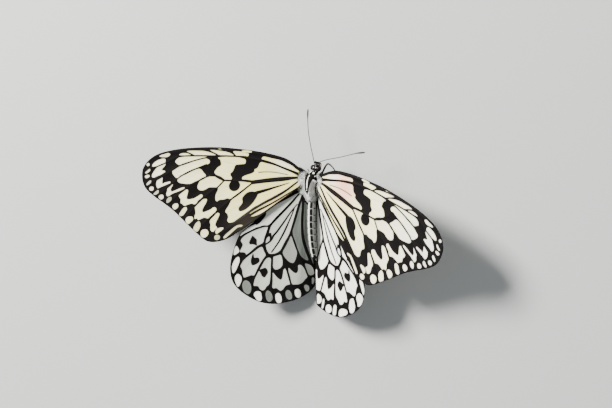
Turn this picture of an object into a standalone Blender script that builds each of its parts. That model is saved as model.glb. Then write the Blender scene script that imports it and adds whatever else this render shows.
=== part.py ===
"""Paper kite butterfly, life size, standing on its legs with the wings half spread.

Metres, +Z up. The head points towards +Y, the insect's right side towards +X, and the feet stand on z = 0.
Each wing is drawn flat, in millimetres: x runs outwards from the root, y forwards. The drawing is slanted
a little, bent, turned about the wing's root and carried to the body. The body's own frame has x to the
right, y towards the head and z up from the back; it is pitched head up and lifted onto the legs.
"""

import math

import bmesh
import bpy
import numpy as np
from mathutils import Vector
from mathutils.geometry import delaunay_2d_cdt

# Driving dimensions, in millimetres and degrees
MM = 0.001
GAP = 0.3
STAND_HEIGHT = 12.6
STAND_PITCH = 3.0
STAND_X = 0.55
STAND_Y = 9.9

# Wings
MEMBRANE = 0.5
VEIN_RISE = 0.24
VEIN_HALF_WIDTH = 0.55
OUTLINE_STEP = 2.6
VEIN_STEP = 4.2
FIELD_STEP = 6.0
FIELD_CLEARANCE = 1.6
MARGIN_CLEARANCE = 0.7

# Slant of each drawing: the share of x and y in the wing's own x, the same for its y, and the shift
FORE_SLANT = ((1.0, -0.142), (0.0, 0.98), (-0.4, 0.5))
HIND_SLANT = ((1.035, 0.011), (-0.09, 0.889), (-0.3, -0.3))

# Crease of the hindwing, beyond which its inner field bends down beside the abdomen
CREASE_START = 1.2
CREASE_SLOPE = 0.44
CREASE_LENGTH = 2.5

# Forewing edge from the root along the front margin, round the tip, and back along the inner margin
FORE_FRONT = [
    (-0.9, 1.0), (2.0, 3.2), (6.0, 6.1), (10.0, 8.0), (18.0, 9.9), (26.0, 11.0), (34.0, 11.7),
    (42.0, 11.7), (50.0, 11.1), (56.0, 10.0), (60.0, 8.6), (63.2, 6.2), (64.9, 3.4),
]
FORE_OUTER = [
    (65.2, 0.9), (64.6, -2.2), (62.8, -5.2), (59.0, -8.2), (54.7, -10.9), (50.3, -14.0),
    (45.9, -17.8), (42.0, -21.1), (38.2, -24.1), (35.8, -25.5),
]
FORE_INNER = [
    (32.8, -25.8), (28.5, -24.7), (24.5, -22.2), (17.5, -16.9), (10.0, -10.6), (4.0, -5.8),
    (1.4, -3.0), (-0.9, -1.4),
]
FORE_VEINS = {
    "costa": [
        (-0.4, 0.5), (4.0, 3.7), (10.0, 7.0), (18.0, 9.0), (28.0, 10.3), (38.0, 10.9), (50.0, 10.2),
        (58.0, 8.3),
    ],
    "radius": [
        (0.0, 0.4), (4.0, 2.0), (10.0, 4.4), (18.0, 6.6), (28.0, 8.2), (37.0, 8.3), (50.0, 8.1),
        (56.0, 5.4), (64.0, 2.1),
    ],
    "cubitus": [(0.0, -0.2), (6.0, -0.6), (14.0, -1.5), (20.0, -2.1), (27.0, -1.5), (32.0, -1.3)],
    "cell_end": [(32.0, -1.3), (36.0, 0.9), (38.6, 4.4), (37.2, 8.3)],
    "media_1": [(38.4, 7.3), (42.0, 7.1), (46.0, 5.9), (50.0, 4.4), (56.4, 0.1), (62.8, -3.6)],
    "media_2": [(38.7, 5.0), (43.0, 3.4), (48.0, 1.0), (52.0, -2.4), (57.4, -7.4)],
    "media_3": [(36.0, 0.9), (40.4, -0.8), (46.6, -4.8), (53.0, -10.4)],
    "cubitus_1": [(32.0, -1.3), (34.0, -3.9), (39.8, -8.9), (45.4, -16.2)],
    "cubitus_2": [(20.0, -2.1), (24.0, -5.3), (30.5, -11.0), (36.3, -16.8), (40.6, -21.1)],
    "anal": [(0.0, -0.7), (4.0, -3.3), (10.0, -7.7), (16.0, -11.2), (24.0, -17.0), (32.6, -23.9)],
}

# Hindwing edge in the same order; one that is folded hard beside the abdomen ends in a narrow inner field
HIND_FRONT = [
    (-0.9, 0.6), (3.0, 1.9), (8.0, 2.2), (13.0, 1.1), (18.0, -1.4), (22.5, -4.4), (26.5, -5.8),
    (30.2, -7.8),
]
HIND_OUTER = [
    (33.9, -12.4), (37.0, -17.6), (38.5, -23.0), (38.1, -27.6), (35.6, -33.0), (31.2, -38.5),
    (25.6, -41.8), (19.0, -43.2),
]
HIND_INNER_WIDE = [
    (13.6, -43.0), (10.0, -41.4), (7.6, -38.8), (6.0, -34.0), (5.4, -28.0), (5.0, -22.0), (3.3, -15.0),
    (1.2, -7.0), (0.1, -3.6), (-0.9, -1.6),
]
HIND_INNER_NARROW = [
    (15.6, -42.3), (13.8, -39.0), (12.0, -34.0), (9.6, -28.0), (7.2, -22.0), (4.4, -15.0), (1.6, -7.6),
    (0.1, -3.6), (-0.9, -1.6),
]
HIND_VEINS = {
    "costa": [(0.0, 0.2), (8.0, 0.9), (16.0, -1.2), (23.0, -5.4), (28.6, -7.4)],
    "radius": [(0.0, -0.2), (6.0, -2.6), (14.0, -6.6), (18.0, -8.6), (24.0, -7.8), (29.4, -9.4)],
    "media_1": [
        (18.0, -8.6), (20.6, -12.2), (22.3, -15.0), (28.0, -16.2), (32.0, -18.0), (37.3, -22.6),
    ],
    "cell_end": [(22.3, -15.0), (22.6, -17.6), (22.0, -20.4)],
    "media_2": [(22.0, -20.4), (27.0, -23.6), (31.0, -28.2), (34.6, -33.2)],
    "media_3": [(20.8, -21.4), (23.4, -28.6), (25.6, -35.0), (27.6, -39.8)],
    "cubitus_1": [(17.2, -21.3), (17.3, -27.0), (17.8, -34.0), (18.4, -42.4)],
    "cubitus": [(0.0, -0.6), (4.0, -4.8), (10.0, -13.6), (17.2, -21.3), (22.0, -20.4)],
    "cubitus_2": [(10.9, -15.0), (11.3, -22.0), (11.1, -32.0), (11.2, -41.4)],
    "anal": [(0.3, -1.6), (4.0, -8.0), (6.6, -15.0), (7.9, -24.0), (8.2, -35.0)],
}

# How each wing is held: the side, the root, how far it is raised, swung forwards and twisted, its bends
# along and across, and how far the inner field of a hindwing folds
FORE_ROOT = (2.7, 2.4, 0.1)
HIND_ROOT = (2.9, -1.4, -1.45)
FORE_BENDS = (-0.0014, 0.0014)
HIND_BENDS = (0.0, -0.0006)
WING_HOLDS = {
    "forewing_left": (-1, FORE_ROOT, (16.0, -8.3, -1.5), FORE_BENDS, None),
    "forewing_right": (1, FORE_ROOT, (17.0, -13.0, -2.7), FORE_BENDS, None),
    "hindwing_left": (-1, HIND_ROOT, (18.5, -26.0, 1.8), HIND_BENDS, 20.0),
    "hindwing_right": (1, (2.1, -1.7, -1.45), (18.5, -18.4, 3.2), HIND_BENDS, 48.0),
}
WING_EDGES = {
    "forewing_left": FORE_FRONT + FORE_OUTER + FORE_INNER,
    "forewing_right": FORE_FRONT + FORE_OUTER + FORE_INNER,
    "hindwing_left": HIND_FRONT + HIND_OUTER + HIND_INNER_WIDE,
    "hindwing_right": HIND_FRONT + HIND_OUTER + HIND_INNER_NARROW,
}

# Body sections: distance towards the head, sideways place, height of the middle, half width, half height
THORAX = [
    (-5.5, 1.40, 0.00, 1.30, 1.45), (-4.6, 1.10, 0.00, 1.75, 2.05), (-3.0, 0.55, 0.00, 2.15, 2.55),
    (-1.0, 0.05, 0.00, 2.45, 2.95), (1.2, 0.05, 0.00, 2.55, 3.10), (3.2, 0.35, 0.00, 2.40, 2.85),
    (4.2, 0.65, 0.00, 2.10, 2.42), (4.9, 0.90, 0.00, 1.60, 1.76), (5.3, 1.10, 0.00, 1.12, 1.22),
]
ABDOMEN_PATH = [
    (1.50, -5.8, 0.0), (2.05, -9.0, 0.35), (2.75, -14.0, 0.45), (3.60, -19.0, 0.35),
    (4.60, -24.0, 0.0), (5.45, -28.0, -0.6),
]
ABDOMEN_SEGMENTS = 9
ABDOMEN_RADIUS = 1.8
ABDOMEN_WAIST = 0.34
ABDOMEN_TAPER = 4.2
ABDOMEN_GROOVE = 0.13
HEAD_CENTRE = (1.6, 7.1, 0.1)
HEAD_HALF = (1.50, 1.65, 1.60)
NECK_CUT_Y = 5.6
EYE_OFFSET = (1.30, 0.25, 0.10)
EYE_HALF = (0.85, 1.05, 1.15)

# Feelers and mouth, from the middle of the head, with x outwards on each side
ANTENNA_PATHS = {
    -1: [
        (0.20, 1.25, 0.95), (0.75, 4.20, 1.75), (2.30, 9.10, 2.30), (4.20, 14.60, 1.80),
        (5.80, 19.70, 0.40), (6.40, 21.90, -0.50),
    ],
    1: [
        (0.55, 1.25, 0.95), (1.85, 2.95, 1.60), (5.20, 4.70, 2.20), (10.55, 6.65, 2.35),
        (14.40, 8.25, 1.90), (16.90, 9.25, 1.30), (19.90, 10.00, 0.50),
    ],
}
ANTENNA_RADIUS = 0.26
CLUB_RADIUS = 0.46
CLUB_PLACE = 0.93
CLUB_LENGTH = 0.09
PALP_PATH = [(0.55, 1.00, -1.05), (0.60, 1.95, -0.95), (0.62, 2.45, -0.25), (0.60, 2.60, 0.45)]
PALP_RADIUS = (0.36, 0.42, 0.34, 0.16)
COIL_CENTRE = (0.0, 0.55, -3.15)
COIL_RADII = (0.42, 1.45)
COIL_TURNS = 1.55
COIL_POINTS = 22
COIL_TUBE = 0.24

# Legs of the right side from hip to foot, measured from the floor below the middle of the thorax
SOLE = 0.26
MID_LEGS = {
    "left": [
        (0.9, 2.2, 10.4), (1.2, 2.4, 9.0), (2.6, 3.2, 8.6), (7.0, 5.6, 9.6), (8.0, 2.8, SOLE),
        (8.6, 0.6, SOLE), (9.0, -1.6, SOLE),
    ],
    "right": [
        (0.9, 2.2, 10.4), (1.2, 3.0, 8.8), (2.1, 5.0, 8.3), (5.0, 9.4, 10.3), (3.8, 5.6, SOLE),
        (4.5, 3.4, SOLE), (5.2, 1.2, SOLE),
    ],
}
HIND_LEG = [
    (0.7, -1.6, 10.4), (0.75, -1.9, 8.9), (2.1, -3.2, 7.7), (6.4, -7.8, 8.2), (9.4, -15.6, SOLE),
    (10.4, -18.8, SOLE), (11.2, -21.8, SOLE),
]
LEG_RADIUS = (0.50, 0.54, 0.54, 0.44, 0.34, 0.32, 0.28)
FORE_LEG = [(1.2, 4.0, -1.3), (1.9, 4.6, -2.2), (2.6, 5.2, -2.5), (3.0, 5.9, -2.1)]
FORE_LEG_RADIUS = (0.45, 0.42, 0.36, 0.26)

# Colours
BLACK = (0.014, 0.012, 0.012, 1.0)
GREY = (0.10, 0.10, 0.10, 1.0)
CREAM = (0.76, 0.73, 0.58, 1.0)
WHITE = (0.78, 0.78, 0.74, 1.0)
EYE = (0.010, 0.008, 0.008, 1.0)
SHARP_ANGLE = 50.0
WELD = 0.004


# Small tools
def smooth_curve(points, step, closed=False):
    """Points every step along a Catmull-Rom curve through the given ones."""
    given = np.array(points, float)
    count = len(given)
    path = []
    for i in range(count if closed else count - 1):
        if closed:
            before, start, end, after = (given[(i + k) % count] for k in (-1, 0, 1, 2))
        else:
            start, end = given[i], given[i + 1]
            before = given[i - 1] if i else 2 * start - end
            after = given[i + 2] if i + 2 < count else 2 * end - start
        pieces = max(1, round(np.linalg.norm(end - start) / step))
        for t in np.arange(pieces) / pieces:
            straight = 2 * start + (end - before) * t
            square = (2 * before - 5 * start + 4 * end - after) * t**2
            cube = (3 * start - before - 3 * end + after) * t**3
            path.append(0.5 * (straight + square + cube))
    if not closed:
        path.append(given[-1])
    return np.array(path)


def turn_x(degrees):
    c, s = math.cos(math.radians(degrees)), math.sin(math.radians(degrees))
    return np.array([[1, 0, 0], [0, c, -s], [0, s, c]])


def turn_y(degrees):
    c, s = math.cos(math.radians(degrees)), math.sin(math.radians(degrees))
    return np.array([[c, 0, s], [0, 1, 0], [-s, 0, c]])


def turn_z(degrees):
    c, s = math.cos(math.radians(degrees)), math.sin(math.radians(degrees))
    return np.array([[c, -s, 0], [s, c, 0], [0, 0, 1]])


def directions(path):
    """The unit heading at each point of a path."""
    heading = np.gradient(path, axis=0)
    return heading / np.linalg.norm(heading, axis=1)[:, None]


def distance_to_path(points, path):
    """Shortest distance of each flat point to a line of straight pieces."""
    best = np.full(len(points), np.inf)
    for start, end in zip(path[:-1], path[1:]):
        along = end - start
        t = np.clip(((points - start) @ along) / (along @ along), 0, 1)
        best = np.minimum(best, np.linalg.norm(points - start - t[:, None] * along, axis=1))
    return best


def inside(points, loop):
    """Whether each flat point lies inside a closed outline."""
    result = np.zeros(len(points), bool)
    x, y = points[:, 0], points[:, 1]
    for (x1, y1), (x2, y2) in zip(loop, np.roll(loop, -1, axis=0)):
        crosses = (y1 > y) != (y2 > y)
        with np.errstate(divide="ignore", invalid="ignore"):
            result ^= crosses & (x < (x2 - x1) * (y - y1) / (y2 - y1) + x1)
    return result


def finish_material(name, colour, roughness):
    material = bpy.data.materials.new(name)
    material.use_nodes = True
    shader = material.node_tree.nodes["Principled BSDF"]
    shader.inputs["Base Color"].default_value = colour
    shader.inputs["Roughness"].default_value = roughness
    shader.inputs["Metallic"].default_value = 0.0
    material.diffuse_color = colour
    return material


def add_object(name, shape, parent, colour, roughness=0.6):
    """A closed mesh in millimetres becomes one object, its faces turned outwards."""
    verts, faces = shape
    mesh = bpy.data.meshes.new(name)
    mesh.from_pydata([Vector(v) * MM for v in verts], [], [list(map(int, f)) for f in faces])
    bm = bmesh.new()
    bm.from_mesh(mesh)
    bmesh.ops.recalc_face_normals(bm, faces=bm.faces)
    bmesh.ops.triangulate(bm, faces=[f for f in bm.faces if len(f.verts) > 4])
    bm.to_mesh(mesh)
    bm.free()
    mesh.shade_smooth()
    mesh.set_sharp_from_angle(angle=math.radians(SHARP_ANGLE))
    obj = bpy.data.objects.new(name, mesh)
    obj.parent = parent
    mesh.materials.append(finish_material(name, colour, roughness))
    bpy.context.scene.collection.objects.link(obj)
    return obj


def islands_of(bm):
    """The faces of each connected piece, the largest piece first."""
    islands = []
    unseen = set(bm.faces)
    while unseen:
        front = [unseen.pop()]
        island = []
        while front:
            face = front.pop()
            island.append(face)
            near = {other for edge in face.edges for other in edge.link_faces} & unseen
            unseen -= near
            front += near
        islands.append(island)
    return sorted(islands, key=len, reverse=True)


def cut_by(obj, cutters):
    """Takes the swollen neighbours out of an object, and keeps its largest closed surface."""
    for cutter in cutters:
        boolean = obj.modifiers.new("clear_of_" + cutter.name, "BOOLEAN")
        boolean.operation = "DIFFERENCE"
        boolean.solver = "EXACT"
        boolean.object = cutter
    bpy.context.view_layer.update()
    graph = bpy.context.evaluated_depsgraph_get()
    cut = bpy.data.meshes.new_from_object(obj.evaluated_get(graph))
    obj.modifiers.clear()
    bm = bmesh.new()
    bm.from_mesh(cut)
    bmesh.ops.triangulate(bm, faces=bm.faces)
    bmesh.ops.remove_doubles(bm, verts=bm.verts, dist=WELD * MM)
    bmesh.ops.dissolve_degenerate(bm, edges=bm.edges, dist=WELD * MM)
    loose = [face for island in islands_of(bm)[1:] for face in island]
    bmesh.ops.delete(bm, geom=loose, context="FACES")
    bm.to_mesh(cut)
    bm.free()
    cut.shade_smooth()
    cut.set_sharp_from_angle(angle=math.radians(SHARP_ANGLE))
    obj.data = cut


def ring_tube(path, radii, sides, floor=False):
    """Closed tube along a path, with one radius at each point and a low point at both ends."""
    path = np.array(path, float)
    heading = directions(path)
    across = np.cross(heading[0], (0.0, 0.0, 1.0))
    if np.linalg.norm(across) < 0.2:
        across = np.cross(heading[0], (1.0, 0.0, 0.0))
    verts = []
    for point, ahead, radius in zip(path, heading, radii):
        across = across - ahead * (across @ ahead)
        across /= np.linalg.norm(across)
        up = np.cross(across, ahead)
        for k in range(sides):
            angle = 2 * math.pi * (k + 0.5) / sides
            verts.append(point + radius * (math.cos(angle) * across + math.sin(angle) * up))
    verts.append(path[0] - 0.4 * radii[0] * heading[0])
    verts.append(path[-1] + 0.4 * radii[-1] * heading[-1])
    if floor:
        for vert in verts:
            vert[2] = max(vert[2], 0.0)
    faces = []
    for i in range(len(path) - 1):
        for k in range(sides):
            a, b = i * sides + k, i * sides + (k + 1) % sides
            faces.append((a, b, b + sides, a + sides))
    first, last = len(verts) - 2, len(verts) - 1
    base = (len(path) - 1) * sides
    for k in range(sides):
        faces.append((k, (k + 1) % sides, first))
        faces.append((base + k, base + (k + 1) % sides, last))
    return verts, faces


def spread_radii(path, given, radii):
    """A radius for each point of a fine path, read along its length from those of the given points."""
    path, given = np.array(path), np.array(given)
    nearest = [int(np.argmin(np.linalg.norm(path - point, axis=1))) for point in given]
    return np.interp(np.arange(len(path)), nearest, radii)


def mirror_points(points, side):
    return [(side * x, y, z) for x, y, z in points]


# Wings
def slanted(points, slant):
    """Drawn points carried to the wing's own plane."""
    return np.array(points, float) @ np.array(slant[:2]).T + slant[2]


def crease_x(y):
    return CREASE_START + CREASE_SLOPE * np.maximum(-y, 0.0)


def fold_inner_field(flat, degrees):
    """Bends what lies inside the crease smoothly down, and gives places with a third coordinate."""
    angle = math.radians(degrees)
    inward = np.maximum(crease_x(flat[:, 1]) - flat[:, 0], 0.0)
    turned = np.minimum(inward, CREASE_LENGTH) * angle / CREASE_LENGTH
    straight = np.maximum(inward - CREASE_LENGTH, 0.0)
    along = CREASE_LENGTH / angle * np.sin(turned) + straight * math.cos(angle)
    drop = CREASE_LENGTH / angle * (1 - np.cos(turned)) + straight * math.sin(angle)
    return np.column_stack([flat[:, 0] + inward - along, flat[:, 1], -drop])


def bend(points, curvature, axis):
    """Rolls points up about the root, along x (axis 0) or y (axis 1)."""
    if not curvature:
        return points
    turned = points[:, axis] * curvature
    bent = points.copy()
    bent[:, axis] = np.sin(turned) / curvature
    bent[:, 2] += (1 - np.cos(turned)) / curvature
    return bent


def carry_wing(flat, side, root, angles, bends, fold):
    """The wing's own plane to the body's frame."""
    up, swing, twist = angles
    points = fold_inner_field(flat, fold) if fold else np.column_stack([flat, np.zeros(len(flat))])
    points = bend(bend(points, bends[0], 0), bends[1], 1)
    turn = turn_y(-up) @ turn_z(swing) @ turn_x(twist)
    placed = points @ turn.T + np.array(root)
    placed[:, 0] *= side
    return placed


def keep_inside(path, outline, clearance):
    """The part of a path that keeps clear of the wing's edge, as runs of following points."""
    rim = np.vstack([outline, outline[:1]])
    good = inside(path, outline) & (distance_to_path(path, rim) > clearance)
    runs, run = [], []
    for point, keep in zip(path, good):
        if keep:
            run.append(point)
            continue
        runs.append(run)
        run = []
    runs.append(run)
    return [np.array(r) for r in runs if len(r) > 1]


def field_points(outline, rim, crests):
    """A loose grid over the panes of the wing, away from its edge and its veins."""
    low, high = outline.min(axis=0), outline.max(axis=0)
    across, along = (np.arange(a, b, FIELD_STEP) for a, b in zip(low, high))
    grid = np.stack(np.meshgrid(across, along), -1).reshape(-1, 2)
    nearest = np.min([distance_to_path(grid, crest) for crest in crests], axis=0)
    good = inside(grid, outline) & (distance_to_path(grid, rim) > FIELD_CLEARANCE)
    return grid[good & (nearest > FIELD_CLEARANCE + VEIN_HALF_WIDTH)]


def flat_wing(outline, crests):
    """Triangles over the wing, with edges along both sides and the crest of every vein."""
    rim = np.vstack([outline, outline[:1]])
    lines = []
    for crest in crests:
        heading = directions(crest)
        beside = np.column_stack([-heading[:, 1], heading[:, 0]]) * VEIN_HALF_WIDTH
        for line in (crest, crest + beside, crest - beside):
            lines += keep_inside(line, outline, MARGIN_CLEARANCE)
    points = list(map(tuple, outline))
    face = list(range(len(points)))
    edges = []
    for line in lines:
        start = len(points)
        points += list(map(tuple, line))
        edges += [(i, i + 1) for i in range(start, len(points) - 1)]
    points += list(map(tuple, field_points(outline, rim, crests)))
    result = delaunay_2d_cdt([Vector(p) for p in points], edges, [face], 1, 1e-3)
    flat = np.array([tuple(v) for v in result[0]])
    nearest = np.min([distance_to_path(flat, crest) for crest in crests], axis=0)
    rise = VEIN_RISE * np.clip(1 - nearest / VEIN_HALF_WIDTH, 0, 1)
    rise[distance_to_path(flat, rim) < 0.5 * MARGIN_CLEARANCE] = 0.0
    return flat, [tuple(f) for f in result[2]], rise


def wing_mesh(edge, veins, slant, hold):
    """Membrane with its veins raised on both faces, which are split into triangles alike."""
    crests = [smooth_curve(slanted(path, slant), VEIN_STEP) for path in veins.values()]
    outline = smooth_curve(slanted(edge, slant), OUTLINE_STEP, closed=True)
    flat, triangles, rise = flat_wing(outline, crests)
    places = carry_wing(flat, *hold)
    nudge = 0.05
    ahead_x = carry_wing(flat + (nudge, 0.0), *hold)
    ahead_y = carry_wing(flat + (0.0, nudge), *hold)
    normal = np.cross(ahead_x - places, ahead_y - places) * hold[0]
    normal /= np.linalg.norm(normal, axis=1)[:, None]
    half = (MEMBRANE / 2 + rise)[:, None] * normal
    count = len(flat)
    verts = list(places + half) + list(places - half)
    faces, borders = [], set()
    for a, b, c in triangles:
        faces.append((a, b, c))
        faces.append((c + count, b + count, a + count))
        borders |= {(a, b), (b, c), (c, a)}
    for a, b in borders:
        if (b, a) not in borders:
            faces.append((b, a, a + count))
            faces.append((b, a + count, b + count))
    return verts, faces


# Body
def thorax_mesh(grow=0.0):
    """Closed skin through the oval sections of the thorax, swollen by grow."""
    sides = 20
    verts = []
    count = len(THORAX)
    for i, (y, x, z, wide, high) in enumerate(THORAX):
        shift = -grow if i == 0 else grow if i == count - 1 else 0.0
        for k in range(sides):
            angle = 2 * math.pi * k / sides
            across, up = (wide + grow) * math.cos(angle), (high + grow) * math.sin(angle)
            verts.append((x + across, y + shift, z + up))
    faces = [tuple(range(sides)), tuple(range((count - 1) * sides, count * sides))]
    for i in range(count - 1):
        for k in range(sides):
            a, b = i * sides + k, i * sides + (k + 1) % sides
            faces.append((a, b, b + sides, a + sides))
    return verts, faces


def abdomen_radius(share):
    """Half width of the abdomen, from its front (0) to its tip (1)."""
    waist = 1 - ABDOMEN_WAIST * math.exp(-share / 0.07)
    taper = math.sqrt(max(1 - (share / 1.02) ** ABDOMEN_TAPER, 0.0))
    return ABDOMEN_RADIUS * waist * taper


def abdomen_mesh(grow=0.0):
    """Abdomen of equal segments, with a groove between one and the next."""
    axis = smooth_curve(ABDOMEN_PATH, 0.1)
    path, radii = [], []
    for ring in range(ABDOMEN_SEGMENTS):
        for part in (0.0, 0.14, 0.86):
            share = (ring + part) / ABDOMEN_SEGMENTS
            groove = ABDOMEN_GROOVE if part == 0.0 and ring else 0.0
            path.append(axis[round(share * (len(axis) - 1))])
            radii.append(abdomen_radius(share) - groove + grow)
    path.append(axis[-1])
    radii.append(abdomen_radius(1.0) + grow)
    return ring_tube(path, radii, 14)


def ellipsoid_mesh(centre, half, rings, sides, grow=0.0):
    centre, half = np.array(centre), np.array(half) + grow
    verts = [centre + half * (0, 1, 0), centre - half * (0, 1, 0)]
    for i in range(1, rings):
        polar = math.pi * i / rings
        for k in range(sides):
            angle = 2 * math.pi * k / sides
            across, up = math.sin(polar) * math.cos(angle), math.sin(polar) * math.sin(angle)
            verts.append(centre + half * (across, math.cos(polar), up))
    faces = []
    for k in range(sides):
        follow = (k + 1) % sides
        faces.append((0, 2 + k, 2 + follow))
        last = 2 + (rings - 2) * sides
        faces.append((1, last + follow, last + k))
        for i in range(rings - 2):
            a, b = 2 + i * sides + k, 2 + i * sides + follow
            faces.append((a, b, b + sides, a + sides))
    return verts, faces


def eye_mesh(side, grow=0.0):
    return ellipsoid_mesh(on_head([EYE_OFFSET], side)[0], EYE_HALF, 10, 16, grow)


def on_head(points, side):
    """Points given from the middle of the head, on the right side, carried to the body's frame."""
    return [tuple(np.add(HEAD_CENTRE, (side * x, y, z))) for x, y, z in points]


def antenna_mesh(side):
    path = smooth_curve(on_head(ANTENNA_PATHS[side], side), 1.4)
    reach = np.linspace(0, 1, len(path))
    swell = np.exp(-(((reach - CLUB_PLACE) / CLUB_LENGTH) ** 2))
    radii = ANTENNA_RADIUS + (CLUB_RADIUS - ANTENNA_RADIUS) * swell
    radii[-1] = 0.6 * ANTENNA_RADIUS
    return ring_tube(path, radii, 8)


def proboscis_mesh():
    """Coiled tongue under the head."""
    path = []
    for t in np.linspace(0, 1, COIL_POINTS):
        radius = COIL_RADII[1] + (COIL_RADII[0] - COIL_RADII[1]) * t
        angle = math.radians(100) - 2 * math.pi * COIL_TURNS * t
        path.append((0.0, radius * math.cos(angle), radius * math.sin(angle)))
    path = np.add(path, np.add(HEAD_CENTRE, COIL_CENTRE))
    return ring_tube(path, [COIL_TUBE] * len(path), 8)


def tapered_tube(given, radii, step, floor=False):
    path = smooth_curve(given, step)
    return ring_tube(path, spread_radii(path, given, radii), 8, floor)


def box_mesh(low, high):
    corners = [(x, y, z) for x in (low[0], high[0]) for y in (low[1], high[1]) for z in (low[2], high[2])]
    faces = [(0, 1, 3, 2), (4, 6, 7, 5), (0, 4, 5, 1), (2, 3, 7, 6), (0, 2, 6, 4), (1, 5, 7, 3)]
    return corners, faces


def add_cutter(name, shape, parent):
    cutter = add_object(name, shape, parent, GREY)
    cutter.hide_render = True
    cutter.display_type = "WIRE"
    return cutter


def add_trunk(body, around_thorax, around_eyes):
    add_object("thorax", thorax_mesh(), body, GREY, 0.8)
    abdomen = add_object("abdomen", abdomen_mesh(), body, GREY, 0.7)
    cut_by(abdomen, [around_thorax])
    behind_neck = add_cutter("behind_neck", box_mesh((-4, 0, -4), (6, NECK_CUT_Y, 4)), body)
    head = add_object("head", ellipsoid_mesh(HEAD_CENTRE, HEAD_HALF, 12, 18), body, BLACK)
    cut_by(head, [behind_neck] + around_eyes)
    bpy.data.objects.remove(behind_neck)


def add_side(name, side, stance, body, around_thorax, around_head):
    """Eye, feeler, palp and legs of one side."""
    add_object("eye_" + name, eye_mesh(side), body, EYE, 0.15)
    feeler = add_object("antenna_" + name, antenna_mesh(side), body, BLACK, 0.5)
    cut_by(feeler, [around_head])
    palp_shape = tapered_tube(on_head(PALP_PATH, side), PALP_RADIUS, 0.5)
    palp = add_object("palp_" + name, palp_shape, body, BLACK, 0.7)
    cut_by(palp, [around_head])
    for kind, route in (("midleg", MID_LEGS[name]), ("hindleg", HIND_LEG)):
        shape = tapered_tube(mirror_points(route, side), LEG_RADIUS, 2.2, floor=True)
        leg = add_object(f"{kind}_{name}", shape, stance, BLACK, 0.5)
        cut_by(leg, [around_thorax])
    shape = tapered_tube(mirror_points(FORE_LEG, side), FORE_LEG_RADIUS, 0.9)
    leg = add_object("foreleg_" + name, shape, body, WHITE, 0.7)
    cut_by(leg, [around_thorax])


def build():
    for obj in list(bpy.data.objects):
        bpy.data.objects.remove(obj)
    stance = bpy.data.objects.new("stance", None)
    stance.location = (STAND_X * MM, STAND_Y * MM, 0.0)
    body = bpy.data.objects.new("body_frame", None)
    body.parent = stance
    body.location = (0.0, 0.0, STAND_HEIGHT * MM)
    body.rotation_euler = (math.radians(STAND_PITCH), 0.0, 0.0)
    for empty in (stance, body):
        bpy.context.scene.collection.objects.link(empty)

    # Swollen copies of the body keep the space that wings, legs and feelers leave free
    around_thorax = add_cutter("around_thorax", thorax_mesh(GAP), body)
    around_abdomen = add_cutter("around_abdomen", abdomen_mesh(GAP), body)
    around_head = add_cutter("around_head", ellipsoid_mesh(HEAD_CENTRE, HEAD_HALF, 10, 16, GAP), body)
    around_eyes = [add_cutter(f"around_eye_{side}", eye_mesh(side, GAP), body) for side in (-1, 1)]

    add_trunk(body, around_thorax, around_eyes)
    for name, side in (("left", -1), ("right", 1)):
        add_side(name, side, stance, body, around_thorax, around_head)
    tongue = add_object("proboscis", proboscis_mesh(), body, BLACK, 0.4)
    cut_by(tongue, [around_head])
    for name, hold in WING_HOLDS.items():
        fore = name.startswith("fore")
        veins, slant, colour = (FORE_VEINS, FORE_SLANT, CREAM) if fore else (HIND_VEINS, HIND_SLANT, WHITE)
        wing = add_object(name, wing_mesh(WING_EDGES[name], veins, slant, hold), body, colour)
        cut_by(wing, [around_thorax, around_abdomen])
    for cutter in [around_thorax, around_abdomen, around_head] + around_eyes:
        bpy.data.objects.remove(cutter)


build()
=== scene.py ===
"""Looks of a paper kite butterfly, life size, standing on its legs with the wings half spread.

Every place is worked out in millimetres in the insect's own frames, the flat plan of a wing or the frame of
the body, and carried to the row frame, in metres, at the end. The marks of the wings are drawn on the flat
plans as closed lines and strokes. A fine mesh holds them as a signed distance, which is positive where the
wing is black, and the finish turns that into a slightly ragged edge.
"""

from __future__ import annotations

import logging
import math
from dataclasses import dataclass, field, replace
from enum import Enum

import bmesh
import bpy
import numpy as np
from bpy.types import Material, Mesh, Node, NodeSocket, NodeTree, Object
from mathutils import Matrix, Vector
from mathutils.geometry import delaunay_2d_cdt

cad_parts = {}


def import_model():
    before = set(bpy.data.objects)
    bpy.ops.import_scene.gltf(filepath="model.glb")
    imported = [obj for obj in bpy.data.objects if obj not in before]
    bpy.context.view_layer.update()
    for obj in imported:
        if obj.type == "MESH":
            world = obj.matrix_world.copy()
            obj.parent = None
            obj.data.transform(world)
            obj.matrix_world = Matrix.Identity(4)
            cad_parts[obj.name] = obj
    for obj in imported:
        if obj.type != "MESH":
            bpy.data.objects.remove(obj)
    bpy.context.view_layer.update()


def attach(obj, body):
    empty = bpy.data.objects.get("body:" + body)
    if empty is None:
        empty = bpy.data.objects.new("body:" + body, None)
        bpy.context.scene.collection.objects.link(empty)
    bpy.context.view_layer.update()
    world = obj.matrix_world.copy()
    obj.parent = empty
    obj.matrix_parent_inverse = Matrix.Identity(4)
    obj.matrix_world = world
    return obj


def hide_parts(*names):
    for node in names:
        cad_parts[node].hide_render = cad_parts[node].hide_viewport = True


LOG = logging.getLogger("butterfly")
MM = 0.001
# How far from a mark its distance is worked out, and a distance beyond all that counts, in millimetres
MARK_REACH = 1.2
FAR = 9.0
# Distance between the points of smoothed lines, in millimetres, and points of a rim measured at a time
LOOP_STEP, STROKE_STEP, VEIN_STEP = 0.3, 0.5, 0.6
RIM_STRETCH = 40
Colour = tuple[float, float, float]
Line = list[tuple[float, float]]
Path = tuple[tuple[float, float, float], ...]
Faces = list[tuple[int, ...]]
Values = dict[str, np.ndarray]
Socket = NodeSocket
Sockets = bpy.types.bpy_prop_collection


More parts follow.
